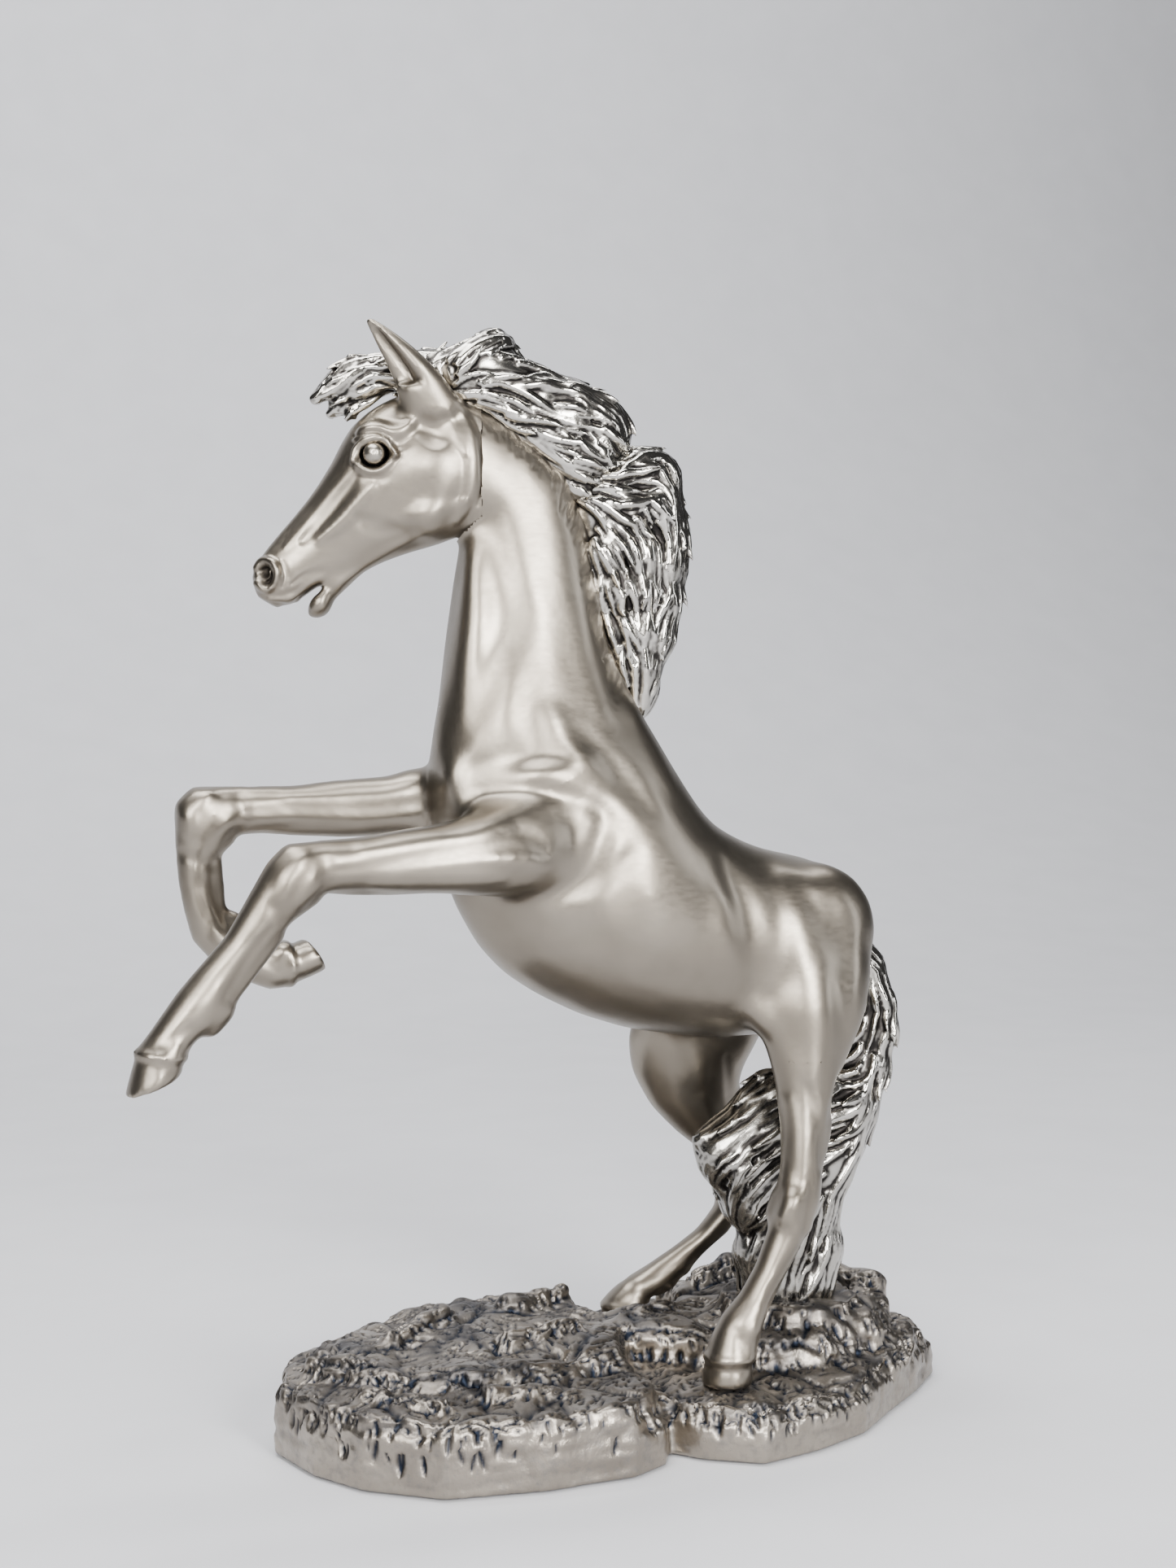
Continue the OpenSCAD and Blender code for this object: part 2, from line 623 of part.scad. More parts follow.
// A run of overlapping swellings on a bent line: the root of a mass of hair
module strip(a, b, c, ra, rc, n = 9) {
    for (i = [0:n - 1])
        muscle(bend(a, b, c, i / n), ra + (rc - ra) * i / n,
            bend(a, b, c, (i + 1) / n), ra + (rc - ra) * (i + 1) / n);
}
module hair_seats() {
    trunk_form();
    head_form();
}
module forelock() {
    color(bright) difference() {
        union() {
            strip([-52, 2, 380], [-71, 5, 388], [-94, 11, 378], 6, 4);
            for (l = forelock_locks) lock(l);
        }
        hair_seats();
        beyond(mane_split);
        mane_pin_set(dowel_gap);
    }
}
module upper_mane() {
    color(bright) difference() {
        union() {
            strip([-48, 0, 378], [-22, 0, 376], [-6, 0, 346], 6, 8);
            for (l = upper_locks) lock(l);
        }
        hair_seats();
        below(mane_split);
        beyond(lower_split);
        mane_pin_set(dowel_gap);
    }
}
module lower_mane() {
    color(bright) difference() {
        union() {
            strip([-6, 0, 346], [12, 0, 316], [12, 0, 266], 8, 5);
            for (l = lower_locks) lock(l);
        }
        hair_seats();
        below(lower_split);
        mane_pin_set(dowel_gap);
    }
}
module tail() {
    color(bright) difference() {
        union() {
            strip([100, 0, 168], [118, 0, 126], [76, 0, 36], 7, 13, 12);
            for (l = outer_tail_locks) lock(l);
            for (l = inner_tail_locks) lock(l);
        }
        trunk_form();
        loft(left_hind, leg_sides, 1);
        loft(right_hind, leg_sides, 1);
        translate([-far / 2, -far / 2, tail_seat - far]) cube(far);
        tail_stud_line(dowel_gap);
    }
}

// ---------- base ----------
module layer(outline, t, z0, z1) {
    translate([0, 0, z0]) linear_extrude(z1 - z0) polygon(inset_outline(outline, t));
}
module rocks() {
    layer(base_outline, 0, rim_lift, 14);
    layer(base_outline, 2, 14, 17);
    layer(base_outline, 4, 17, ledge_top);
    layer(left_slab, 0, 12, 22);
    layer(left_slab, 1.5, 22, 26);
    layer(back_shelf, 0, ledge_top - 4, 29);
    layer(back_shelf, 3, 29, 32);
    for (b = boulders) hull() {
        translate([b[0], b[1], b[2]]) sphere(b[3], $fn = 8);
        translate([b[4], b[5], b[6]]) sphere(b[7], $fn = 8);
        translate([(b[0] + b[4]) / 2, (b[1] + b[5]) / 2, ledge_top - 4])
            cylinder(r = b[3] + 3, h = 1, $fn = 8);
    }
    translate([80, 2, ledge_top]) cylinder(r1 = 34, r2 = 26, h = tail_seat - ledge_top, $fn = 12);
}
module rock_hollow() {
    difference() {
        union() {
            layer(base_outline, 8, rim_lift, ceiling);
            layer(back_shelf, 8, ceiling - 1, shelf_ceiling);
        }
        for (p = screw_spots) translate([p[0], p[1], plate_top]) cylinder(d = 10, h = 30, $fn = 16);
    }
    layer(base_outline, 4, rim_lift - 1, plate_top);
}
module rock_base() {
    color(dark) difference() {
        rocks();
        rock_hollow();
        translate([0, 0, 18]) linear_extrude(far) polygon(hoof_well);
        translate([34, -40, ledge_top]) cylinder(r = 13, h = 12, $fn = 16);
        translate([80, 3, tail_seat]) cylinder(r = 34, h = 60, $fn = 16);
        for (p = screw_spots) translate([p[0], p[1], 0]) cylinder(d = screw_d + 0.1, h = 11, $fn = 14);
        left_hind_stud_line(dowel_gap);
        right_hind_stud_line(dowel_gap);
        tail_stud_line(dowel_gap);
    }
}
module base_plate() {
    color(steel) difference() {
        layer(base_outline, 4.2, felt_t, plate_top);
        for (p = screw_spots) translate([p[0], p[1], felt_t]) {
            translate([0, 0, -1]) cylinder(d = screw_d + 0.3, h = plate_t + 2, $fn = 24);
            translate([0, 0, -0.01]) cylinder(d1 = screw_d * 2, d2 = screw_d + 0.3, h = 1.4, $fn = 24);
        }
    }
}
module felt_pad() {
    color("#23382c") layer(base_outline, 5, 0, felt_t);
}
module plate_screws() {
    color(steel) for (p = screw_spots) translate([p[0], p[1], felt_t + 0.05]) difference() {
        union() {
            cylinder(d1 = screw_d * 2 - 0.2, d2 = screw_d, h = 1.4, $fn = 24);
            cylinder(d = screw_d, h = 8, $fn = 24);
        }
        translate([-0.4, -far / 2, -0.5]) cube([0.8, far, 1]);
    }
}
module left_hind_stud() {
    color(steel) left_hind_stud_line();
}
module right_hind_stud() {
    color(steel) right_hind_stud_line();
}
module tail_stud() {
    color(steel) tail_stud_line();
}
module stud_washers() {
    color(steel) for (s = stud_feet) translate([s[0], s[1], s[2] - 1]) difference() {
        cylinder(d = nut_d + 2, h = 1, $fn = 32);
        translate([0, 0, -1]) cylinder(d = stud_d + dowel_gap, h = 3, $fn = 24);
    }
}
module stud_nuts() {
    color(steel) for (s = stud_feet) translate([s[0], s[1], s[2] - 5]) difference() {
        cylinder(d = nut_d, h = 4, $fn = 6);
        translate([0, 0, -1]) cylinder(d = stud_d + 0.05, h = 6, $fn = 24);
    }
}

// ---------- dowels and pins ----------
module neck_dowels() {
    color(steel) neck_dowel_set();
}
module head_dowels() {
    color(steel) head_dowel_set();
}
module foreleg_dowels() {
    color(steel) foreleg_dowel_set();
}
module hindleg_dowels() {
    color(steel) hindleg_dowel_set();
}
module hoof_pins() {
    color(steel) hoof_pin_set();
}
module mane_pins() {
    color(steel) mane_pin_set();
}

body_casting();
neck_casting();
head_casting();
left_eye();
right_eye();
left_foreleg();
right_foreleg();
left_hindleg();
right_hindleg();
left_fore_hoof();
right_fore_hoof();
left_hind_hoof();
right_hind_hoof();
forelock();
upper_mane();
lower_mane();
tail();
rock_base();
base_plate();
felt_pad();
plate_screws();
left_hind_stud();
right_hind_stud();
tail_stud();
stud_washers();
stud_nuts();
neck_dowels();
head_dowels();
foreleg_dowels();
hindleg_dowels();
hoof_pins();
mane_pins();
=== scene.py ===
# Rearing horse statuette: satin silvered castings with bright, chunky hair on a tooled rock base.
import bpy
import bmesh
import math
import random
import numpy as np
from mathutils import Matrix, Vector, noise
from mathutils.bvhtree import BVHTree
from mathutils.kdtree import KDTree


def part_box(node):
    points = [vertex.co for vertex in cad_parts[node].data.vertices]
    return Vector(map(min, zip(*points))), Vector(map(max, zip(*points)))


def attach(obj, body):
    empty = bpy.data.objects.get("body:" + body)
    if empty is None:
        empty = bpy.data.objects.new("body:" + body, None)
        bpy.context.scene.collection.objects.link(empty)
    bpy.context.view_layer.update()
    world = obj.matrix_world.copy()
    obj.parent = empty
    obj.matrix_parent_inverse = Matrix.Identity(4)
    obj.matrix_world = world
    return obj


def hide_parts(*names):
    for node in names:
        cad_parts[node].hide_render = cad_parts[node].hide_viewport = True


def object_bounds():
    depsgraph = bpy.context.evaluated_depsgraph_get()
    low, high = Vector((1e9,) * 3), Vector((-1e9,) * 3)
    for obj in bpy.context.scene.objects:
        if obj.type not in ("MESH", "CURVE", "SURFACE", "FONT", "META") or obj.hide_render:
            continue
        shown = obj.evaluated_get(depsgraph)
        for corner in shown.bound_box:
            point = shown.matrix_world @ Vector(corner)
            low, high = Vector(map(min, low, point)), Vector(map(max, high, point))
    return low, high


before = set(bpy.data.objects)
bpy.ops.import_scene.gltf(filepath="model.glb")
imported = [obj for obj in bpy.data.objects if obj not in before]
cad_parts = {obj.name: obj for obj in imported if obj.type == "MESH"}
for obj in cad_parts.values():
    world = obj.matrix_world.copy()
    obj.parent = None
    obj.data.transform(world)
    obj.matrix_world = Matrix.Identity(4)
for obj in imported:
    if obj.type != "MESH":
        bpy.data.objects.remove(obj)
cad_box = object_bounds()

MM = 0.001
# Sides: the horse's left is towards -y
LEFT = -1
RIGHT = 1
BOTH = 0
# Remesh sizes: fine enough for the detail, and under 200,000 triangles a piece
SCULPT_GRAIN = 0.9 * MM
HEAD_GRAIN = 0.5 * MM
HAIR_GRAIN = 0.55 * MM
TAIL_GRAIN = 0.65 * MM
HAIR_MASS_GRAIN = 1.1 * MM
ROCK_GRAIN = 0.98 * MM
# Corners nearer than this are one, pins swell by this much, and pieces keep this far inside the box
MERGE = 0.002 * MM
PLUG_SWELL = 0.35 * MM
BOX_MARGIN = 0.1 * MM
HEAD_YAW = math.radians(15)
HEAD_PIVOT = Vector((-50, 0, 0)) * MM


# ---------- small tools ----------
def new_piece(name, mesh):
    piece = bpy.data.objects.new(name, mesh)
    bpy.context.scene.collection.objects.link(piece)
    return piece


def drop(piece):
    mesh = piece.data
    bpy.data.objects.remove(piece)
    if mesh.users == 0:
        bpy.data.meshes.remove(mesh)


def from_bmesh(name, bm):
    mesh = bpy.data.meshes.new(name)
    bm.to_mesh(mesh)
    bm.free()
    return new_piece(name, mesh)


def settle(piece):
    """Applies the piece's modifiers to its mesh."""
    bpy.context.view_layer.update()
    shaped = piece.evaluated_get(bpy.context.evaluated_depsgraph_get())
    mesh = bpy.data.meshes.new_from_object(shaped)
    old = piece.data
    piece.modifiers.clear()
    piece.data = mesh
    bpy.data.meshes.remove(old)
    return piece


def cad_copy(name, nodes):
    """One mesh from copies of CAD nodes, with their loose triangles merged."""
    bm = bmesh.new()
    for node in nodes:
        bm.from_mesh(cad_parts[node].data)
    bmesh.ops.remove_doubles(bm, verts=bm.verts, dist=MERGE)
    return from_bmesh(name, bm)


def remesh(piece, grain):
    """Rebuilds the mesh as one closed skin of small, even squares."""
    skin = piece.modifiers.new("skin", "REMESH")
    skin.mode = "VOXEL"
    skin.voxel_size = grain
    skin.use_smooth_shade = True
    return settle(piece)


def keep_outer_skin(piece):
    """Deletes every island but the one longest from head to tail: cavities, bores and specks go."""
    bm = bmesh.new()
    bm.from_mesh(piece.data)
    bm.verts.ensure_lookup_table()
    unseen = set(bm.verts)
    best = None
    best_size = -1
    while unseen:
        seed = unseen.pop()
        island = [seed]
        front = [seed]
        while front:
            v = front.pop()
            for e in v.link_edges:
                other = e.other_vert(v)
                if other in unseen:
                    unseen.discard(other)
                    island.append(other)
                    front.append(other)
        xs = [v.co.x for v in island]
        size = max(xs) - min(xs)
        if size > best_size:
            best = island
            best_size = size
    keep = set(best)
    bmesh.ops.delete(bm, geom=[v for v in bm.verts if v not in keep], context="VERTS")
    bm.to_mesh(piece.data)
    bm.free()
    return piece


# ---------- sculpting ----------
class Clay:
    """A piece's points as arrays, with the strokes of a modelling tool."""

    def __init__(self, piece, turn=None):
        self.piece = piece
        self.mesh = piece.data
        n = len(self.mesh.vertices)
        co = np.empty(n * 3)
        self.mesh.vertices.foreach_get("co", co)
        self.co = co.reshape(n, 3)
        self.turn = turn
        if turn is not None:
            self.co = self.co @ turn[0].T + turn[1]
        edges = np.empty(len(self.mesh.edges) * 2, np.int64)
        self.mesh.edges.foreach_get("vertices", edges)
        self.a, self.b = edges.reshape(-1, 2).T
        self.degree = np.bincount(self.a, minlength=n) + np.bincount(self.b, minlength=n)
        self.degree = np.maximum(self.degree, 1)[:, None]
        loops = np.empty(len(self.mesh.loops), np.int64)
        self.mesh.loops.foreach_get("vertex_index", loops)
        starts = np.empty(len(self.mesh.polygons), np.int64)
        self.mesh.polygons.foreach_get("loop_start", starts)
        self.corners = [loops[starts], loops[starts + 1], loops[starts + 2]]
        self.patina = np.zeros(n)
        self.aim()

    def around(self, values):
        """The mean of each point's neighbours."""
        flat = values.reshape(len(values), -1)
        total = np.stack([np.bincount(self.a, flat[self.b, k], len(flat))
                          + np.bincount(self.b, flat[self.a, k], len(flat))
                          for k in range(flat.shape[1])], 1)
        return (total / self.degree).reshape(values.shape)

    def aim(self):
        """Works out the point normals again."""
        p, q, r = (self.co[c] for c in self.corners)
        face = np.cross(q - p, r - p)
        normal = np.stack([sum(np.bincount(c, face[:, k], len(self.co)) for c in self.corners)
                           for k in range(3)], 1)
        self.normal = normal / (np.linalg.norm(normal, axis=1)[:, None] + 1e-20)

    def relax(self, rounds, amount=0.5):
        """Smooths; amount may be one number or one for each point."""
        share = amount if np.isscalar(amount) else np.asarray(amount)[:, None]
        for _ in range(rounds):
            self.co = self.co + share * (self.around(self.co) - self.co)
        self.aim()

    @staticmethod
    def eased(path):
        """The path with its corners rounded off by a curve through its points."""
        pts = np.array(path, float)
        if len(pts) < 3:
            return pts
        ends = np.vstack([2 * pts[0] - pts[1], pts, 2 * pts[-1] - pts[-2]])
        out = []
        for a, b, c, d in zip(ends, ends[1:], ends[2:], ends[3:]):
            for t in (0, 0.25, 0.5, 0.75):
                out.append(0.5 * (2 * b + (c - a) * t + (2 * a - 5 * b + 4 * c - d) * t ** 2
                                  + (3 * b - a - 3 * c + d) * t ** 3))
        return np.array(out + [pts[-1]])

    def along(self, path, flat):
        """Distance to a path and place along it, in side view or in space. Path in millimetres."""
        axes = [0, 2] if flat else [0, 1, 2]
        pts = self.eased(path) * MM
        p = self.co[:, axes]
        lengths = np.linalg.norm(np.diff(pts, axis=0), axis=1)
        total = lengths.sum() + 1e-12
        best = np.full(len(p), 1e9)
        place = np.zeros(len(p))
        run = 0.0
        for i in range(len(pts) - 1):
            d = pts[i + 1] - pts[i]
            t = np.clip(((p - pts[i]) @ d) / (d @ d + 1e-18), 0, 1)
            gap = np.linalg.norm(p - pts[i] - t[:, None] * d, axis=1)
            nearer = gap < best
            best[nearer] = gap[nearer]
            place[nearer] = ((run + t * lengths[i]) / total)[nearer]
            run += lengths[i]
        return best, place

    def stroke(self, path, radius, height, side=BOTH, taper=0.0, sharp=False, stain=0.0, limit=None):
        """Raises (or cuts, with a negative height) a band along a path. Sizes in millimetres.
        Two numbers a point mean the side view, drawn on the side given; three mean a path in space."""
        flat = len(path[0]) == 2
        if len(path) == 1:
            path = [path[0], tuple(c + 0.01 for c in path[0])]
        gap, place = self.along(path, flat)
        reach = radius * MM * (1 - taper * np.abs(2 * place - 1) ** 2)
        t = np.clip(gap / reach, 0, 1)
        fall = (1 - t) ** 2 * (1 + t * 0.5) if sharp else (1 - t * t) ** 2
        if flat and side != BOTH:
            fall = fall * np.clip(self.normal[:, 1] * side * 2.5 + 0.1, 0, 1)
        if limit is not None:
            fall = fall * limit(self.co / MM)
        fall = fall * (1 - taper * 0.6 * np.abs(2 * place - 1) ** 3)
        self.co = self.co + self.normal * (fall * height * MM)[:, None]
        if stain:
            self.patina = np.maximum(self.patina, fall * stain)

    def both(self, path, radius, height, **more):
        self.stroke(path, radius, height, side=LEFT, **more)
        self.stroke(path, radius, height, side=RIGHT, **more)

    def hollows(self, rounds, scale):
        """How far each point lies below its surroundings, in lots of scale millimetres."""
        mean = self.co.copy()
        for _ in range(rounds):
            mean = mean + 0.6 * (self.around(mean) - mean)
        return ((mean - self.co) * self.normal).sum(1) / (scale * MM)

    def finish(self, extra=None):
        """Writes the shape back, with the patina as an attribute."""
        stain = self.patina if extra is None else np.clip(self.patina + extra, 0, 1)
        out = self.co
        if self.turn is not None:
            out = (out - self.turn[1]) @ self.turn[0]
        self.mesh.vertices.foreach_set("co", out.ravel())
        layer = self.mesh.attributes.get("patina") or self.mesh.attributes.new("patina", "FLOAT", "POINT")
        layer.data.foreach_set("value", stain.astype(np.float32))
        self.mesh.update()
        return self.piece


def ramp(x, low, high):
    """Rises smoothly from 0 at low to 1 at high."""
    t = np.clip((x - low) / (high - low), 0, 1)
    return t * t * (3 - 2 * t)


# The head is modelled straight and stands turned on the neck: [turn, shift] into its own frame
yaw_cos = math.cos(HEAD_YAW)
yaw_sin = math.sin(HEAD_YAW)
to_head = np.array([[yaw_cos, -yaw_sin, 0], [yaw_sin, yaw_cos, 0], [0, 0, 1]])
pivot = np.array(HEAD_PIVOT)
HEAD_FRAME = (to_head, pivot - to_head @ pivot)


# ---------- finishes ----------
def finish_of(name):
    material = bpy.data.materials.new(name)
    material.use_nodes = True
    tree = material.node_tree
    return material, tree, tree.nodes["Principled BSDF"]


def metal_of(name):
    material, tree, shader = finish_of(name)
    shader.inputs["Metallic"].default_value = 1.0
    return material, tree, shader


def node(tree, kind, inputs=None, **settings):
    made = tree.nodes.new(kind)
    for key, value in settings.items():
        setattr(made, key, value)
    for key, value in (inputs or {}).items():
        if isinstance(value, bpy.types.NodeSocket):
            tree.links.new(value, made.inputs[key])
        else:
            made.inputs[key].default_value = value
    return made


def patina_of(tree):
    """The darkening that the modelling leaves in each point, 0 to 1."""
    return node(tree, "ShaderNodeAttribute", attribute_name="patina").outputs["Fac"]


def place(tree, stretch=(1, 1, 1), turn=(0, 0, 0)):
    spot = node(tree, "ShaderNodeTexCoord")
    return node(tree, "ShaderNodeMapping", {"Vector": spot.outputs["Object"], "Scale": stretch,
                                            "Rotation": turn}).outputs["Vector"]


def grain(tree, size, detail=3.0, stretch=(1, 1, 1), turn=(0, 0, 0), roughness=0.55):
    """Noise whose lumps are about size millimetres across."""
    return node(tree, "ShaderNodeTexNoise", {"Vector": place(tree, stretch, turn), "Scale": 1000 / size,
                                             "Detail": detail, "Roughness": roughness}).outputs["Fac"]


def steps(tree, value, low, high, to_low=0.0, to_high=1.0):
    return node(tree, "ShaderNodeMapRange", {"Value": value, "From Min": low, "From Max": high,
                                             "To Min": to_low, "To Max": to_high}).outputs["Result"]


def blend_colour(tree, share, a, b):
    mix = node(tree, "ShaderNodeMix", data_type="RGBA")
    for key, value in ((0, share), (6, a), (7, b)):
        if isinstance(value, bpy.types.NodeSocket):
            tree.links.new(value, mix.inputs[key])
        elif key == 0:
            mix.inputs[key].default_value = value
        else:
            mix.inputs[key].default_value = (*value, 1)
    return mix.outputs[2]


def sum_of(tree, a, b, way="ADD"):
    made = tree.nodes.new("ShaderNodeMath")
    made.operation = way
    for i, value in enumerate((a, b)):
        if isinstance(value, bpy.types.NodeSocket):
            tree.links.new(value, made.inputs[i])
        else:
            made.inputs[i].default_value = value
    return made.outputs[0]


def bumps(tree, shader, layers):
    """Chained bumps: (height socket, distance in millimetres)."""
    last = None
    for height, distance in layers:
        made = node(tree, "ShaderNodeBump", {"Height": height, "Distance": distance * MM, "Strength": 1.0})
        if last:
            tree.links.new(last, made.inputs["Normal"])
        last = made.outputs["Normal"]
    tree.links.new(last, shader.inputs["Normal"])


def satin_silver():
    """Silvered bronze, brushed and waxed: warm and half matt, browner in its creases."""
    material, tree, shader = metal_of("satin_silver")
    patina = patina_of(tree)
    cloud = grain(tree, 38, 3)
    worn = steps(tree, cloud, 0.35, 0.68)
    metal = blend_colour(tree, worn, (0.205, 0.180, 0.147), (0.265, 0.236, 0.196))
    aged = blend_colour(tree, patina, metal, (0.028, 0.024, 0.020))
    tree.links.new(aged, shader.inputs["Base Color"])
    scratch = grain(tree, 0.9, 2, stretch=(0.22, 1, 0.6), turn=(0, math.radians(35), 0))
    brushed = steps(tree, scratch, 0.2, 0.8, -0.03, 0.04)
    rough = sum_of(tree, steps(tree, cloud, 0.3, 0.7, 0.37, 0.31), brushed)
    rough = sum_of(tree, rough, steps(tree, patina, 0, 1, 0, 0.2))
    tree.links.new(rough, shader.inputs["Roughness"])
    bumps(tree, shader, [(grain(tree, 9, 2), 0.10), (scratch, 0.010), (grain(tree, 0.45, 2), 0.004)])
    return material


def bright_silver():
    """Polished silvered bronze whose grooves are left almost black."""
    material, tree, shader = metal_of("bright_silver")
    patina = patina_of(tree)
    cloud = grain(tree, 14, 3)
    metal = blend_colour(tree, steps(tree, cloud, 0.35, 0.7), (0.42, 0.40, 0.365), (0.54, 0.52, 0.48))
    aged = blend_colour(tree, patina, metal, (0.022, 0.020, 0.019))
    tree.links.new(aged, shader.inputs["Base Color"])
    rough = sum_of(tree, steps(tree, cloud, 0.3, 0.7, 0.19, 0.12), steps(tree, patina, 0, 1, 0, 0.25))
    tree.links.new(rough, shader.inputs["Roughness"])
    bumps(tree, shader, [(grain(tree, 2.6, 3), 0.07), (grain(tree, 0.6, 2), 0.012)])
    return material


def patinated_rock():
    """Bronze rock with a blue-black patina, rubbed back to metal on its edges."""
    material, tree, shader = metal_of("patinated_rock")
    patina = patina_of(tree)
    cloud = grain(tree, 26, 4)
    fleck = grain(tree, 3.2, 4)
    bare = blend_colour(tree, steps(tree, cloud, 0.35, 0.65), (0.26, 0.23, 0.195), (0.37, 0.33, 0.28))
    toned = blend_colour(tree, steps(tree, fleck, 0.48, 0.75, 0, 0.5), bare, (0.15, 0.148, 0.15))
    aged = blend_colour(tree, patina, toned, (0.014, 0.018, 0.028))
    tree.links.new(aged, shader.inputs["Base Color"])
    rough = sum_of(tree, steps(tree, fleck, 0.3, 0.7, 0.27, 0.40), steps(tree, patina, 0, 1, 0, 0.2))
    tree.links.new(rough, shader.inputs["Roughness"])
    combed = grain(tree, 2.0, 3, stretch=(1, 0.3, 0.6), turn=(0, 0, 0.7))
    bumps(tree, shader, [(grain(tree, 7, 3), 0.22), (combed, 0.16), (grain(tree, 0.9, 4), 0.06)])
    return material


def eye_metal():
    """A satin bead, a shade smoother than the skin round it."""
    material, tree, shader = metal_of("eye_metal")
    smear = grain(tree, 9, 2)
    colour = blend_colour(tree, steps(tree, smear, 0.4, 0.7), (0.30, 0.275, 0.235), (0.38, 0.35, 0.305))
    tree.links.new(colour, shader.inputs["Base Color"])
    tree.links.new(steps(tree, smear, 0.3, 0.7, 0.26, 0.32), shader.inputs["Roughness"])
    return material


def plain_steel():
    """Zinc-plated steel with turning marks round its length."""
    material, tree, shader = metal_of("plain_steel")
    marks = grain(tree, 0.8, 2, stretch=(0.3, 0.3, 3))
    colour = blend_colour(tree, steps(tree, marks, 0.3, 0.7), (0.42, 0.43, 0.45), (0.56, 0.57, 0.58))
    tree.links.new(colour, shader.inputs["Base Color"])
    tree.links.new(steps(tree, marks, 0.3, 0.7, 0.28, 0.42), shader.inputs["Roughness"])
    bumps(tree, shader, [(marks, 0.01)])
    return material


def green_felt():
    """Pressed wool felt with loose short fibres."""
    material, tree, shader = finish_of("felt")
    fibre = grain(tree, 0.5, 5, stretch=(1, 0.35, 1), turn=(0, 0, 0.6))
    lint = grain(tree, 1.7, 4)
    colour = blend_colour(tree, steps(tree, fibre, 0.35, 0.7), (0.012, 0.035, 0.022), (0.035, 0.075, 0.05))
    tree.links.new(colour, shader.inputs["Base Color"])
    shader.inputs["Roughness"].default_value = 0.95
    shader.inputs["Sheen Weight"].default_value = 0.4
    bumps(tree, shader, [(lint, 0.12), (fibre, 0.06)])
    return material


FINISH = {
    "satin_silver": satin_silver(),
    "bright_silver": bright_silver(),
    "patinated_rock": patinated_rock(),
    "eye_metal": eye_metal(),
    "plain_steel": plain_steel(),
    "felt": green_felt()}


def hand_over(piece, slot, *nodes):
    """Gives a finished piece its finish, and lets it stand for its CAD nodes."""
    piece.data.materials.clear()
    piece.data.materials.append(FINISH[slot])
    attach(piece, "root")
    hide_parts(*nodes)
    return piece


# ---------- camera, floor and light ----------
def camera():
    """Stands at the horse's left, a little ahead of it, at the height of its chest."""
    turn = math.radians(22)
    pan = math.radians(0.286)
    pitch = math.radians(1.14)
    away = 0.75
    height = 0.25
    view = bpy.data.cameras.new("camera")
    view.sensor_fit = "VERTICAL"
    view.sensor_height = 36
    view.sensor_width = 27
    view.lens = 46.7
    view.clip_start = 0.01
    stand = bpy.data.objects.new("camera", view)
    stand.location = (-away * math.sin(turn), -away * math.cos(turn), height)
    stand.rotation_euler = (math.pi / 2 - pitch, 0, pan - turn)
    bpy.context.scene.collection.objects.link(stand)
    bpy.context.scene.camera = stand


def soft_box(name, spot, aim, size, power, colour=(1, 1, 1)):
    lamp = bpy.data.lights.new(name, "AREA")
    lamp.shape = "RECTANGLE"
    lamp.size, lamp.size_y = size
    lamp.energy = power
    lamp.color = colour
    holder = bpy.data.objects.new(name, lamp)
    holder.location = spot
    holder.rotation_euler = (Vector(aim) - Vector(spot)).to_track_quat("-Z", "Y").to_euler()
    bpy.context.scene.collection.objects.link(holder)


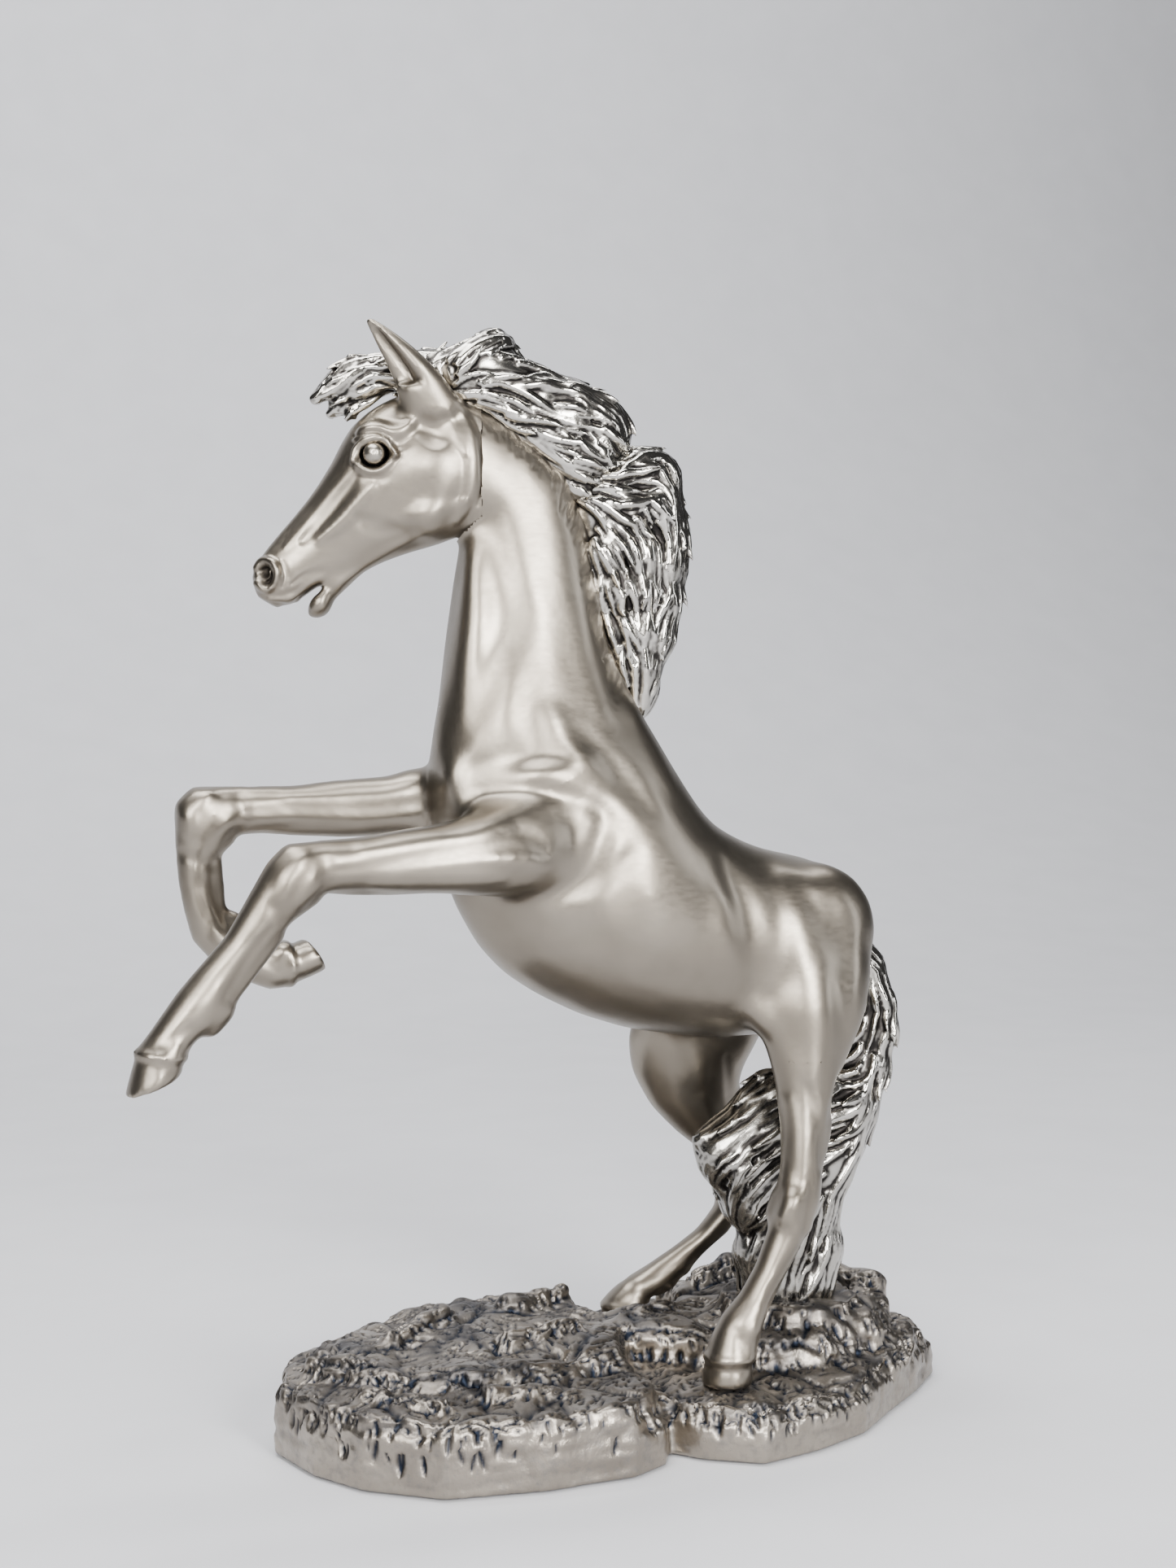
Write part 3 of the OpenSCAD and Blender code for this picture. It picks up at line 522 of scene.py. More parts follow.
def studio():
    """A pale sweep of paper: a floor that curves up into the wall behind."""
    floor_front = -2.2
    floor_back = 0.9
    bend_radius = 1.6
    wall_top = 3.2
    bm = bmesh.new()
    front = [bm.verts.new((x, floor_front, 0)) for x in (-3, 3)]
    edge = bm.edges.new(front)
    run = bmesh.ops.extrude_edge_only(bm, edges=[edge])
    for v in [g for g in run["geom"] if isinstance(g, bmesh.types.BMVert)]:
        v.co.y = floor_back
    edges = [g for g in run["geom"] if isinstance(g, bmesh.types.BMEdge)]
    bend = bmesh.ops.spin(bm, geom=edges, cent=(0, floor_back, bend_radius), axis=(1, 0, 0),
                          angle=math.pi / 2, steps=24)
    edges = [g for g in bend["geom_last"] if isinstance(g, bmesh.types.BMEdge)]
    wall = bmesh.ops.extrude_edge_only(bm, edges=edges)
    for v in [g for g in wall["geom"] if isinstance(g, bmesh.types.BMVert)]:
        v.co.z = wall_top
    for face in bm.faces:
        face.smooth = True
    bmesh.ops.recalc_face_normals(bm, faces=bm.faces)
    paper = from_bmesh("paper_sweep", bm)
    material, tree, shader = finish_of("pale_paper")
    fleck = grain(tree, 60, 3)
    colour = blend_colour(tree, steps(tree, fleck, 0.3, 0.7), (0.52, 0.525, 0.55), (0.545, 0.55, 0.575))
    tree.links.new(colour, shader.inputs["Base Color"])
    shader.inputs["Roughness"].default_value = 0.85
    shader.inputs["Specular IOR Level"].default_value = 0.2
    paper.data.materials.append(material)

    soft_box("overhead", (-0.25, -0.15, 1.35), (0, 0, 0.2), (0.9, 0.6), 19)
    soft_box("window", (-1.25, -1.05, 0.85), (0, 0, 0.22), (0.35, 1.1), 15, (1, 0.985, 0.96))
    soft_box("front_left", (-0.75, -1.35, 0.75), (0, 0, 0.22), (0.5, 0.6), 26, (1, 0.99, 0.97))
    soft_box("front_right", (0.25, -1.45, 0.62), (0, 0, 0.25), (0.40, 0.75), 38, (1, 0.99, 0.97))
    soft_box("side_fill", (1.4, -0.8, 0.6), (0, 0, 0.2), (0.25, 1.0), 5, (0.95, 0.97, 1))
    soft_box("wall_wash", (0, 0.7, 2.5), (0, 2.4, 0.7), (3.0, 0.5), 104)
    world = bpy.data.worlds.new("room")
    world.use_nodes = True
    back = world.node_tree.nodes["Background"]
    back.inputs["Color"].default_value = (0.60, 0.60, 0.62, 1)
    back.inputs["Strength"].default_value = 0.10
    bpy.context.scene.world = world


camera()
studio()


# ---------- the figure ----------
# Seams between head and neck, in the head's frame: a point, and the turn of the way out of the neck
HEAD_SEAMS = [((-46, 0, 352), -90), ((-46, 0, 331), -45)]
FIGURE_NODES = ["body_casting", "neck_casting", "head_casting", "left_foreleg", "right_foreleg",
                "left_hindleg", "right_hindleg", "left_fore_hoof", "right_fore_hoof",
                "left_hind_hoof", "right_hind_hoof"]
# Muscle laid on where the right foreleg meets the chest, as balls
SHOULDER_MUSCLE = [(-74, 228, 10.5, 9, 21.5), (-66, 230, 12, 10.5, 20), (-56, 230, 12, 10, 18)]
PLUG_NODES = ["neck_dowels", "head_dowels", "foreleg_dowels", "hindleg_dowels", "hoof_pins", "mane_pins"]


def plumped(name, nodes, amount):
    """A copy of pins or dowels, swelled a little so that they fill their holes."""
    plug = cad_copy(name, nodes)
    bm = bmesh.new()
    bm.from_mesh(plug.data)
    bm.normal_update()
    for v in bm.verts:
        v.co += v.normal * amount
    bm.to_mesh(plug.data)
    bm.free()
    return plug


def joined(name, pieces):
    """One mesh from several pieces, which are used up."""
    bm = bmesh.new()
    for piece in pieces:
        bm.from_mesh(piece.data)
        drop(piece)
    return from_bmesh(name, bm)


def balls(name, spots):
    """Round lumps: x, z, radius in side view, half width, and how far to the right of the middle."""
    bm = bmesh.new()
    for x, z, r, wide, *shift in spots:
        middle = shift[0] if shift else 0
        ball = bmesh.ops.create_icosphere(bm, subdivisions=3, radius=1.0)["verts"]
        for v in ball:
            v.co = Vector((x + r * v.co.x, middle + wide * v.co.y, z + r * v.co.z)) * MM
    return from_bmesh(name, bm)


def left_half(p):
    return ramp(-p[:, 1], 4, 10)


def right_half(p):
    return ramp(p[:, 1], 4, 10)


def work_trunk(clay):
    """Muscles and folds of the neck, chest, barrel and thighs."""
    # neck: two long channels and the bands of muscle beside them
    clay.both([(-47, 331), (-44, 311), (-41, 294), (-48, 277), (-55, 262), (-60, 248)], 12, -1.6, taper=0.5)
    clay.both([(-34, 300), (-33, 284), (-36, 266), (-33, 248)], 10, -0.6, taper=0.7)
    clay.both([(-31, 352), (-20, 330), (-15, 307), (-10, 283), (-7, 262)], 14, 0.9, taper=0.5)
    clay.both([(-57, 258), (-53, 280), (-52, 300), (-53, 318)], 9, 0.7, taper=0.6)
    clay.both([(-42, 282), (-44, 266), (-46, 252)], 10, 0.6, taper=0.6)
    # chest: a front band and the folds where the foreleg comes forward
    clay.both([(-64, 274), (-66, 260), (-63, 245), (-60, 232)], 8, 1.4, taper=0.4)
    clay.both([(-63, 230), (-60, 235), (-54, 240), (-45, 242), (-35, 245), (-22, 245)], 5.5, -1.6, taper=0.6)
    clay.both([(-56, 238), (-46, 240), (-32, 240), (-21, 236), (-12, 232)], 7.5, 1.4, taper=0.6)
    clay.both([(-64, 228), (-52, 233), (-37, 234), (-22, 230), (-10, 225), (-2, 218)], 4, -1.5, taper=0.6)
    clay.both([(-56, 223), (-41, 227), (-26, 229), (-17, 226), (-12, 221)], 5.5, 1.3, taper=0.6)
    # elbow and armpit
    clay.both([(-12, 226), (-12, 215), (-18, 205), (-27, 199)], 6, -1.9, taper=0.5)
    clay.both([(-43, 197), (-27, 197), (-12, 203), (0, 212)], 5.5, -1.5, taper=0.5, stain=0.15)
    clay.both([(-56, 217), (-46, 219), (-38, 217), (-33, 210)], 4.5, -1.2, taper=0.6)
    clay.both([(-54, 210), (-43, 210), (-32, 207)], 6, 1.3, taper=0.5)
    # shoulder blade and withers
    clay.both([(-21, 256), (-11, 246), (-2, 237), (8, 225)], 8, -1.1, taper=0.6)
    clay.both([(-28, 262), (-20, 248), (-10, 238)], 9, 1.2, taper=0.5)
    clay.both([(6, 260), (13, 245), (19, 233)], 9, 0.8, taper=0.5)
    clay.both([(0, 214), (-3, 197), (3, 173)], 9, -0.7, taper=0.7)
    # belly, flank, hip and thigh
    clay.both([(-63, 195), (-45, 174), (-24, 156), (-2, 149)], 7, 0.6, taper=0.5)
    clay.both([(38, 206), (44, 190), (47, 175), (50, 162), (54, 152)], 10, -1.7, taper=0.5)
    clay.both([(34, 196), (38, 180), (43, 166)], 10, 0.6, taper=0.5)
    clay.both([(60, 198), (69, 200), (76, 196)], 8, 1.3, taper=0.4)
    clay.both([(57, 190), (59, 172), (58, 154), (63, 138)], 9, -0.7, taper=0.6)
    clay.both([(66, 192), (69, 171), (71, 147), (69, 128)], 12, 1.3, taper=0.5)
    clay.both([(78, 165), (84, 142), (81, 122)], 9, -0.8, taper=0.6)
    clay.both([(90, 179), (92, 158), (87, 137)], 10, 0.7, taper=0.5)
    clay.both([(79, 194), (84, 180), (82, 160)], 10, -0.6, taper=0.6)
    clay.both([(49, 152), (53, 147)], 6, 0.8)
    clay.both([(44, 152), (50, 159), (58, 157)], 5, -0.6, taper=0.5, stain=0.08)


def work_forelegs(clay):
    """The lifted legs, each from its forearm to its coronet."""
    left = dict(limit=left_half)
    right = dict(limit=right_half)
    # forearm muscles
    clay.both([(-34, 213), (-60, 214), (-90, 210), (-110, 208)], 4.5, -0.56, taper=0.5, stain=0.12, **left)
    clay.both([(-48, 221), (-74, 219), (-100, 215)], 6.2, 0.62, taper=0.4, **left)
    clay.both([(-50, 204), (-76, 203), (-96, 203)], 5, 0.62, taper=0.4, **left)
    clay.both([(-52, 230), (-80, 227), (-108, 227), (-128, 226)], 4.5, -0.56, taper=0.5, stain=0.12, **right)
    clay.both([(-60, 236), (-86, 232), (-112, 231)], 5.8, 0.56, taper=0.4, **right)
    # knees: a broad cap with a hollow above and below it
    clay.both([(-113, 211), (-112, 204)], 3.8, -0.5, stain=0.1, **left)
    clay.both([(-120, 213), (-126, 206), (-128, 200)], 5, 0.74, taper=0.3, **left)
    clay.both([(-117, 204), (-121, 198)], 3.8, 0.62, **left)
    clay.both([(-131, 197), (-127, 192)], 3, -0.5, stain=0.12, **left)
    clay.both([(-129, 232), (-128, 220)], 3.8, -0.5, stain=0.1, **right)
    clay.both([(-140, 232), (-147, 227), (-147, 219)], 5, 0.74, taper=0.3, **right)
    clay.both([(-134, 222), (-137, 213)], 3.8, 0.62, **right)
    clay.both([(-149, 211), (-139, 207)], 3, -0.5, stain=0.12, **right)
    # tendons behind the cannon bones, fetlocks, pasterns
    clay.both([(-131, 190), (-138, 181), (-147, 167)], 2.5, -0.56, taper=0.4, stain=0.22, **left)
    clay.both([(-146, 163), (-152, 158)], 3.8, 0.56, **left)
    clay.both([(-158, 158), (-166, 153)], 2.8, -0.43, stain=0.1, **left)
    clay.both([(-143, 208), (-143, 197), (-141, 189)], 2.5, -0.56, taper=0.4, stain=0.22, **right)
    clay.both([(-131, 183), (-125, 178)], 3.8, 0.56, **right)
    clay.both([(-121, 172), (-116, 169)], 2.8, -0.43, stain=0.1, **right)
    # coronet bands
    clay.stroke([(-175, 150), (-158, 147.5)], 2.0, 0.9, limit=left_half)
    clay.stroke([(-109.2, 162), (-110.8, 178)], 2.0, 0.9, limit=right_half)


def work_hindlegs(clay):
    """The standing legs, each from its gaskin to its coronet."""
    left = dict(limit=left_half)
    right = dict(limit=right_half)
    # lean cannon bones: the back of each leg is drawn in
    clay.stroke([(84, 124), (78, 112), (75, 100), (74, 88), (71, 77)], 7, -1.5, **left)
    clay.stroke([(68, 68), (61, 58), (54, 50), (48, 42)], 7, -2.0, **left)
    clay.stroke([(88, 92), (86, 82), (82, 72)], 6, -1.2, **right)
    clay.stroke([(75, 60), (66, 50), (58, 43)], 6, -1.6, **right)
    clay.relax(8, 0.4 * ramp(120 - clay.co[:, 2] / MM, 0, 10))
    clay.both([(66, 126), (70, 112), (71, 98)], 4, -0.56, taper=0.5, stain=0.12, **left)
    clay.both([(60, 120), (63, 106), (63, 94)], 5, 0.5, taper=0.4, **left)
    clay.both([(63, 88), (58, 80), (60, 74)], 5, 0.68, taper=0.3, **left)
    clay.both([(71, 92), (70, 82), (66, 73)], 3, 0.56, **left)
    clay.both([(66, 92), (64, 80), (62, 72)], 2.5, -0.43, taper=0.4, stain=0.2, **left)
    clay.both([(60, 68), (52, 58), (46, 50)], 2.5, -0.56, taper=0.4, stain=0.22, **left)
    clay.both([(46, 45), (41, 40)], 3.8, 0.56, **left)
    clay.both([(34, 41), (37, 34)], 2.8, -0.43, stain=0.1, **left)
    clay.both([(34, 150), (44, 136), (50, 120)], 7.5, 0.81, taper=0.4, **right)
    clay.both([(60, 128), (66, 112), (73, 97)], 4, -0.56, taper=0.5, stain=0.12, **right)
    clay.both([(52, 112), (62, 98), (70, 88)], 5, 0.5, taper=0.4, **right)
    clay.both([(74, 88), (70, 78), (71, 70)], 5, 0.68, taper=0.3, **right)
    clay.both([(82, 86), (82, 76), (80, 68)], 3, 0.56, **right)
    clay.both([(76, 84), (76, 74), (74, 68)], 2.5, -0.43, taper=0.4, stain=0.2, **right)
    clay.both([(74, 63), (64, 54), (55, 45)], 2.5, -0.56, taper=0.4, stain=0.22, **right)
    clay.both([(46, 40), (40, 36)], 3.8, 0.56, **right)
    clay.both([(31, 36), (36, 30)], 2.8, -0.43, stain=0.1, **right)
    clay.stroke([(25, 30.5), (44, 30.5)], 2.2, 1.0, limit=left_half)
    clay.stroke([(24, 27.6), (44, 27.6)], 1.2, -0.5, limit=left_half, stain=0.3)
    clay.stroke([(20, 27.5), (39, 27.5)], 2.2, 1.0, limit=right_half)
    clay.stroke([(19, 24.6), (39, 24.6)], 1.2, -0.5, limit=right_half, stain=0.3)


def hatch_crest(clay, rng):
    """Short tool marks in a band along the crest, where the mane springs from the neck."""
    crest = [(-52, 372), (-38, 368), (-25, 358), (-12, 342), (-3, 322), (1, 304), (5, 284), (9, 270)]
    for i in range(len(crest) - 1):
        a = np.array(crest[i])
        b = np.array(crest[i + 1])
        along = (b - a) / np.linalg.norm(b - a)
        across = np.array([-along[1], along[0]])
        for k in range(7):
            root = a + (b - a) * (k + rng.random()) / 7 - across * (2 + 3 * rng.random())
            tip = root - across * (3.5 + 4 * rng.random()) + along * (3 + 2 * rng.random())
            clay.both([tuple(root), tuple(tip)], 1.2, -0.35, sharp=True, stain=0.12)


def figure():
    """The whole horse as one skin, worked like a wax, before it is cut into its castings."""
    wax = joined("wax", [cad_copy("castings", FIGURE_NODES), plumped("plugs", PLUG_NODES, PLUG_SWELL),
                         balls("shoulder", SHOULDER_MUSCLE)])
    wax = keep_outer_skin(remesh(wax, SCULPT_GRAIN))
    clay = Clay(wax)
    p = clay.co / MM
    foreleg = ramp(-p[:, 0], 76, 98) * ramp(250 - p[:, 2], 0, 8)
    hindleg = ramp(118 - p[:, 2], 0, 22)
    limb = np.maximum(foreleg, hindleg)
    hoof = np.maximum(ramp(32 - p[:, 2], 0, 4), ramp(-p[:, 0], 150, 158) * ramp(151 - p[:, 2], 0, 3))
    clay.relax(70, 0.5 * (1 - 0.80 * limb) * (1 - 0.6 * hoof))
    work_trunk(clay)
    clay.relax(34, 0.5 * (1 - limb))
    p = clay.co / MM
    # the roots of the forelegs: the left one's smoothing is set further forward and narrower
    collar_place = np.where(p[:, 1] < 0, 73, 66)
    collar_width = np.where(p[:, 1] < 0, 11, 15)
    collar = np.exp(-((p[:, 0] + collar_place) / collar_width) ** 2)
    clay.relax(60, 0.5 * collar * ramp(p[:, 2], 186, 194) * ramp(np.abs(p[:, 1]), 6, 12) * (p[:, 2] < 246))
    work_forelegs(clay)
    work_hindlegs(clay)
    clay.aim()
    clay.relax(6, 0.4)
    hatch_crest(clay, random.Random(4))
    clay.relax(1, 0.3)
    clay.aim()
    deep = np.clip(clay.hollows(14, 1.0) - 0.3, 0, 1)
    return clay.finish(extra=deep * 0.5)


def outward(turn):
    """The direction that leans from up towards the tail by turn degrees."""
    a = math.radians(turn)
    return Vector((math.sin(a), 0, math.cos(a)))


def side_of(p, cut):
    """How far a point lies outward of a cut, in millimetres."""
    spot, turn = cut
    return (p - Vector(spot)).dot(outward(turn))


def head_point(p):
    """A point in millimetres, moved into the head's own frame."""
    return Vector(HEAD_FRAME[0] @ np.array(p) + HEAD_FRAME[1] / MM)


def casting_of(p):
    """The casting that a point of the skin belongs to, in millimetres."""
    left = p.y < 0
    if side_of(p, ((-28, 0, 262), -10)) > 0 and p.x > -150 and p.z > 240:
        q = head_point(p)
        return "head" if all(side_of(q, cut) > 0 for cut in HEAD_SEAMS) else "neck"
    if left and side_of(p, ((-166.5, -32, 148.5), 190)) > 0 and p.x < -150:
        return "left_fore_hoof"
    if not left and side_of(p, ((-110, 26, 170), 82)) > 0 and p.x < -90 and p.z < 190:
        return "right_fore_hoof"
    if left and p.x < -72:
        return "left_foreleg"
    if not left and p.x < -76:
        return "right_foreleg"
    if left and side_of(p, ((70, -33, 113), 187)) > 0:
        return "left_hind_hoof" if p.z < 30 else "left_hindleg"
    if not left and p.x > 0 and side_of(p, ((57, 34, 104), 140)) > 0:
        return "right_hind_hoof" if p.z < 27 else "right_hindleg"
    if p.z < 134:
        if left:
            return "left_hindleg"
        return "right_hindleg" if side_of(p, ((57, 34, 104), 140)) > 0 else "body"
    return "body"


# Cuts between castings: a point, the turn of the outward direction, and which points are near
CUTS = [
    ((-28, 0, 262), -10, lambda p: p.z > 240),
    ((-166.5, -32, 148.5), 190, lambda p: p.y < 0 and p.x < -150),
    ((-110, 26, 170), 82, lambda p: p.y > 0 and p.x < -90 and p.z < 190),
    ((-72, -30, 210), -90, lambda p: p.y < 0 and p.z < 240),
    ((-76, 21.5, 227), -90, lambda p: p.y > 0 and p.z < 250),
    ((70, -33, 113), 187, lambda p: p.y < 0),
    ((57, 34, 104), 140, lambda p: p.y > 0 and p.x > 0 and p.z < 140),
    ((34, -40, 30), 180, lambda p: p.y < 0),
    ((30, 46, 27), 180, lambda p: p.y > 0)]


def cut_castings(skin):
    """Cuts the worked skin at its seams into closed castings."""
    bm = bmesh.new()
    bm.from_mesh(skin.data)
    for spot, turn, near in CUTS:
        way = outward(turn)
        centre = Vector(spot) * MM
        faces = [f for f in bm.faces
                 if abs((f.verts[0].co - centre).dot(way)) < 3 * MM and near(f.verts[0].co / MM)]
        geom = faces + list({e for f in faces for e in f.edges}) + list({v for f in faces for v in f.verts})
        bmesh.ops.bisect_plane(bm, geom=geom, plane_co=centre, plane_no=way, dist=1e-6)
    groups = {}
    for f in bm.faces:
        groups.setdefault(casting_of(f.calc_center_median() / MM), []).append(f.index)
    bm.to_mesh(skin.data)
    bm.free()
    pieces = {}
    for name, members in groups.items():
        part = bmesh.new()
        part.from_mesh(skin.data)
        part.faces.ensure_lookup_table()
        mine = set(members)
        bmesh.ops.delete(part, geom=[f for f in part.faces if f.index not in mine], context="FACES")
        close_ends(part)
        pieces[name] = from_bmesh(name, part)
    drop(skin)
    return pieces


def close_ends(bm):
    """Fills each open rim with a flat, sharp-edged face."""
    rim = [e for e in bm.edges if e.is_boundary]
    for e in rim:
        e.smooth = False
    caps = bmesh.ops.holes_fill(bm, edges=rim, sides=0)["faces"]
    for f in bm.faces:
        f.smooth = True
    for f in caps:
        f.smooth = False


pieces = cut_castings(figure())
drop(pieces.pop("head"))
NODE_OF = {"body": "body_casting", "neck": "neck_casting"}
for name, piece in pieces.items():
    piece.name = name + "_skin"
    hand_over(piece, "satin_silver", NODE_OF.get(name, name))


# ---------- the head ----------
# Eyes: their place in side view, how far out from the middle, and the radius of the bead
EYE_SPOT = (-84, 351.5)
EYE_OUT = 13.2
EYE_BALL = 3.9
# Rings from the root of an ear to its tip: x, z, out from the middle, half depth, half width, and how
# far the cup is pushed in
EAR_RINGS = [
    (-62.0, 364, 8.0, 11.0, 6.0, 0.1),
    (-65.0, 371, 9.5, 9.6, 6.2, 0.5),
    (-69.0, 378, 10.6, 8.0, 5.8, 1.0),
    (-73.5, 384.5, 11.6, 6.3, 5.2, 1.15),
    (-78.0, 390, 12.2, 4.7, 4.2, 1.15),
    (-81.6, 394, 12.6, 3.2, 3.0, 1.05),
    (-84.4, 397, 12.8, 1.9, 1.7, 0.7),
    (-86.0, 398.6, 12.8, 0.7, 0.7, 0.1)]


def ear(side, back=0.0):
    """A pricked ear: rings pushed in on the side that it listens from, bridged into a curled leaf."""
    listening = math.radians(228)
    bm = bmesh.new()
    rings = []
    for x, z, out, deep, wide, cup in EAR_RINGS:
        ring = bmesh.ops.create_circle(bm, segments=36, radius=1.0)["verts"]
        for v in ring:
            a = math.atan2(v.co.y, v.co.x)
            gap = math.atan2(math.sin(a - listening), math.cos(a - listening))
            push = 1 - cup * math.exp(-(gap / 0.62) ** 2)
            v.co = Vector((x + back + deep * math.cos(a) * push, side * (out - wide * math.sin(a) * push),
                           z + 0.35 * deep * math.cos(a) * push)) * MM
        rings.append([e for e in bm.edges if e.verts[0] in ring and e.verts[1] in ring])
    for a, b in zip(rings, rings[1:]):
        bmesh.ops.bridge_loops(bm, edges=a + b)
    bmesh.ops.holes_fill(bm, edges=rings[0] + rings[-1], sides=0)
    lengthwise = [e for e in bm.edges if abs(e.verts[0].co.z - e.verts[1].co.z) > MM]
    bmesh.ops.subdivide_edges(bm, edges=lengthwise, cuts=3, smooth=0.8, use_grid_fill=True)
    bmesh.ops.recalc_face_normals(bm, faces=bm.faces)
    return from_bmesh("ear", bm)


def turned_by(piece, frame_pair, back=False):
    """Moves a mesh between the figure's frame and the head's own."""
    matrix = Matrix([list(frame_pair[0][i]) + [frame_pair[1][i]] for i in range(3)] + [[0, 0, 0, 1]])
    piece.data.transform(matrix.inverted() if back else matrix)
    return piece


def head_block():
    """The head and a collar of neck in the head's frame, its ears cut away and put on afresh."""
    block = joined("head", [cad_copy("castings", ["head_casting", "neck_casting"]),
                            plumped("plugs", ["head_dowels", "mane_pins", "neck_dowels"], PLUG_SWELL)])
    turned_by(block, HEAD_FRAME)
    # the first cut takes the ears off, and the second leaves only a collar of the neck
    for spot, way in (((0, 0, 376.2), (0, 0, 1)), ((-20, 0, 300), (0.45, 0, -0.89))):
        bm = bmesh.new()
        bm.from_mesh(block.data)
        bmesh.ops.bisect_plane(bm, geom=bm.verts[:] + bm.edges[:] + bm.faces[:], plane_co=Vector(spot) * MM,
                               plane_no=way, clear_outer=True, dist=1e-7)
        bmesh.ops.holes_fill(bm, edges=[e for e in bm.edges if e.is_boundary], sides=0)
        bm.to_mesh(block.data)
        bm.free()
    block = joined("head", [block, ear(LEFT), ear(RIGHT, back=3.5)])
    return keep_outer_skin(remesh(block, HEAD_GRAIN))


def work_head(clay):
    """Brow, lids, cheek, nostrils and lips, in the head's frame."""
    # the brow: a soft roll from over the eye to the root of the ear
    brow = [(-90, 356.5), (-87, 359.6), (-82.5, 360.6), (-78, 359.2), (-74, 360), (-70, 363.5)]
    clay.both(brow, 4.4, 2.0, taper=0.6)
    clay.both([(-78.5, 353.5), (-74.5, 355.5), (-70.5, 359)], 3.4, -0.8, taper=0.5, stain=0.06)
    # lids: almond rims round a deep, dark socket
    clay.both([EYE_SPOT], 9.0, -1.5)
    upper_lid = [(-91, 349), (-89.6, 353), (-86.6, 356), (-83, 356.9), (-79.6, 355.4), (-76.4, 351)]
    lower_lid = [(-91, 349), (-88.4, 346.6), (-84.6, 345.2), (-80.6, 346.4), (-76.4, 351)]
    clay.both(upper_lid, 2.1, 2.3, taper=0.2)
    clay.both(lower_lid, 1.9, 1.6, taper=0.2)
    lid_fold = [(-91, 358), (-87.5, 359), (-83, 359.2), (-78.5, 357.4)]
    clay.both(lid_fold, 1.6, -1.2, taper=0.5, sharp=True, stain=0.3)
    clay.both([(-91.5, 347.4), (-89.2, 349.6)], 1.3, -0.9, sharp=True, stain=0.9)
    clay.both([(-78, 349), (-74.5, 350.5)], 1.3, -0.5, sharp=True, stain=0.5)
    clay.both([(-89, 343.6), (-84, 342.2), (-79.5, 343.6)], 2.4, -0.5, taper=0.4, stain=0.08)
    # the planes of the face
    clay.both([(-90, 345), (-92, 341), (-97, 335), (-103, 327), (-109, 321)], 4.6, -0.9, taper=0.6)
    clay.both([(-94, 344), (-102, 333), (-109, 326), (-115, 319)], 4.0, 0.4, taper=0.6)
    clay.both([(-84, 341), (-89.5, 334.5), (-95, 328.5), (-103, 322)], 4.6, 1.4, taper=0.5)
    clay.both([(-90, 330), (-86, 327), (-76, 326)], 4.4, -0.8, taper=0.6)
    clay.both([(-86, 326), (-72, 329.5), (-60, 332), (-52, 336)], 5.0, 0.6, taper=0.6)
    clay.both([(-62, 347)], 13, 1.5)
    clay.both([(-67, 362), (-62.5, 358)], 5.5, -1.5)
    clay.both([(-58, 367), (-55, 360), (-52, 352)], 3.6, 0.7, taper=0.5)
    clay.both([(-97, 306), (-90, 311), (-76, 320), (-67, 324)], 2.2, 0.6, taper=0.4)
    # the back of the jowl, standing clear of the neck
    jowl = [(-53, 366), (-50.5, 360), (-49.5, 352), (-49.5, 343), (-51.5, 335), (-55, 329)]
    clay.both(jowl, 4.2, 1.0, taper=0.5)
    clay.both([(x + 4.4, z - 0.6) for x, z in jowl[:-1]], 2.4, -1.3, taper=0.6, sharp=True, stain=0.2)
    # nostrils, lips and chin
    nostril_rim = [(-125.5, 312), (-123, 314.6), (-119.4, 313.6), (-118, 310), (-119.2, 306), (-122, 304),
                   (-125, 306.6)]
    clay.both(nostril_rim, 1.9, 1.3)
    clay.both([(-122.4, 311.4), (-121.2, 309), (-121.6, 306.8)], 2.5, -2.8, stain=1.0)
    clay.both([(-122.4, 311), (-121.4, 307.4)], 3.4, 0, stain=1.0)
    clay.both([(-116, 314), (-114.6, 309), (-116, 305)], 1.7, -0.6, taper=0.4, stain=0.1)
    upper_lip = [(-121, 301), (-115.5, 301), (-110.6, 303.2), (-107, 306.4), (-102, 308.6)]
    clay.both(upper_lip, 1.5, 0.8, taper=0.3)
    clay.both([(-113, 306), (-108, 309.5), (-102, 311)], 1.5, -0.5, taper=0.4, stain=0.1)
    clay.both([(-112, 299), (-107.4, 303), (-103, 305.6)], 1.3, -1.0, sharp=True, stain=1.0)
    clay.stroke([(-103, 298.5)], 6.5, 2.2)
    clay.stroke([(-113, 300)], 4, 0.8)
    clay.both([(-98, 303), (-100, 306)], 1.7, -0.6, stain=0.15)
    # the cups of the ears
    cup = [(-67, 375), (-72, 381), (-78, 388), (-83, 394)]
    clay.both(cup, 2.2, -0.5, limit=lambda p: ramp(p[:, 2], 374, 378), stain=0.3)


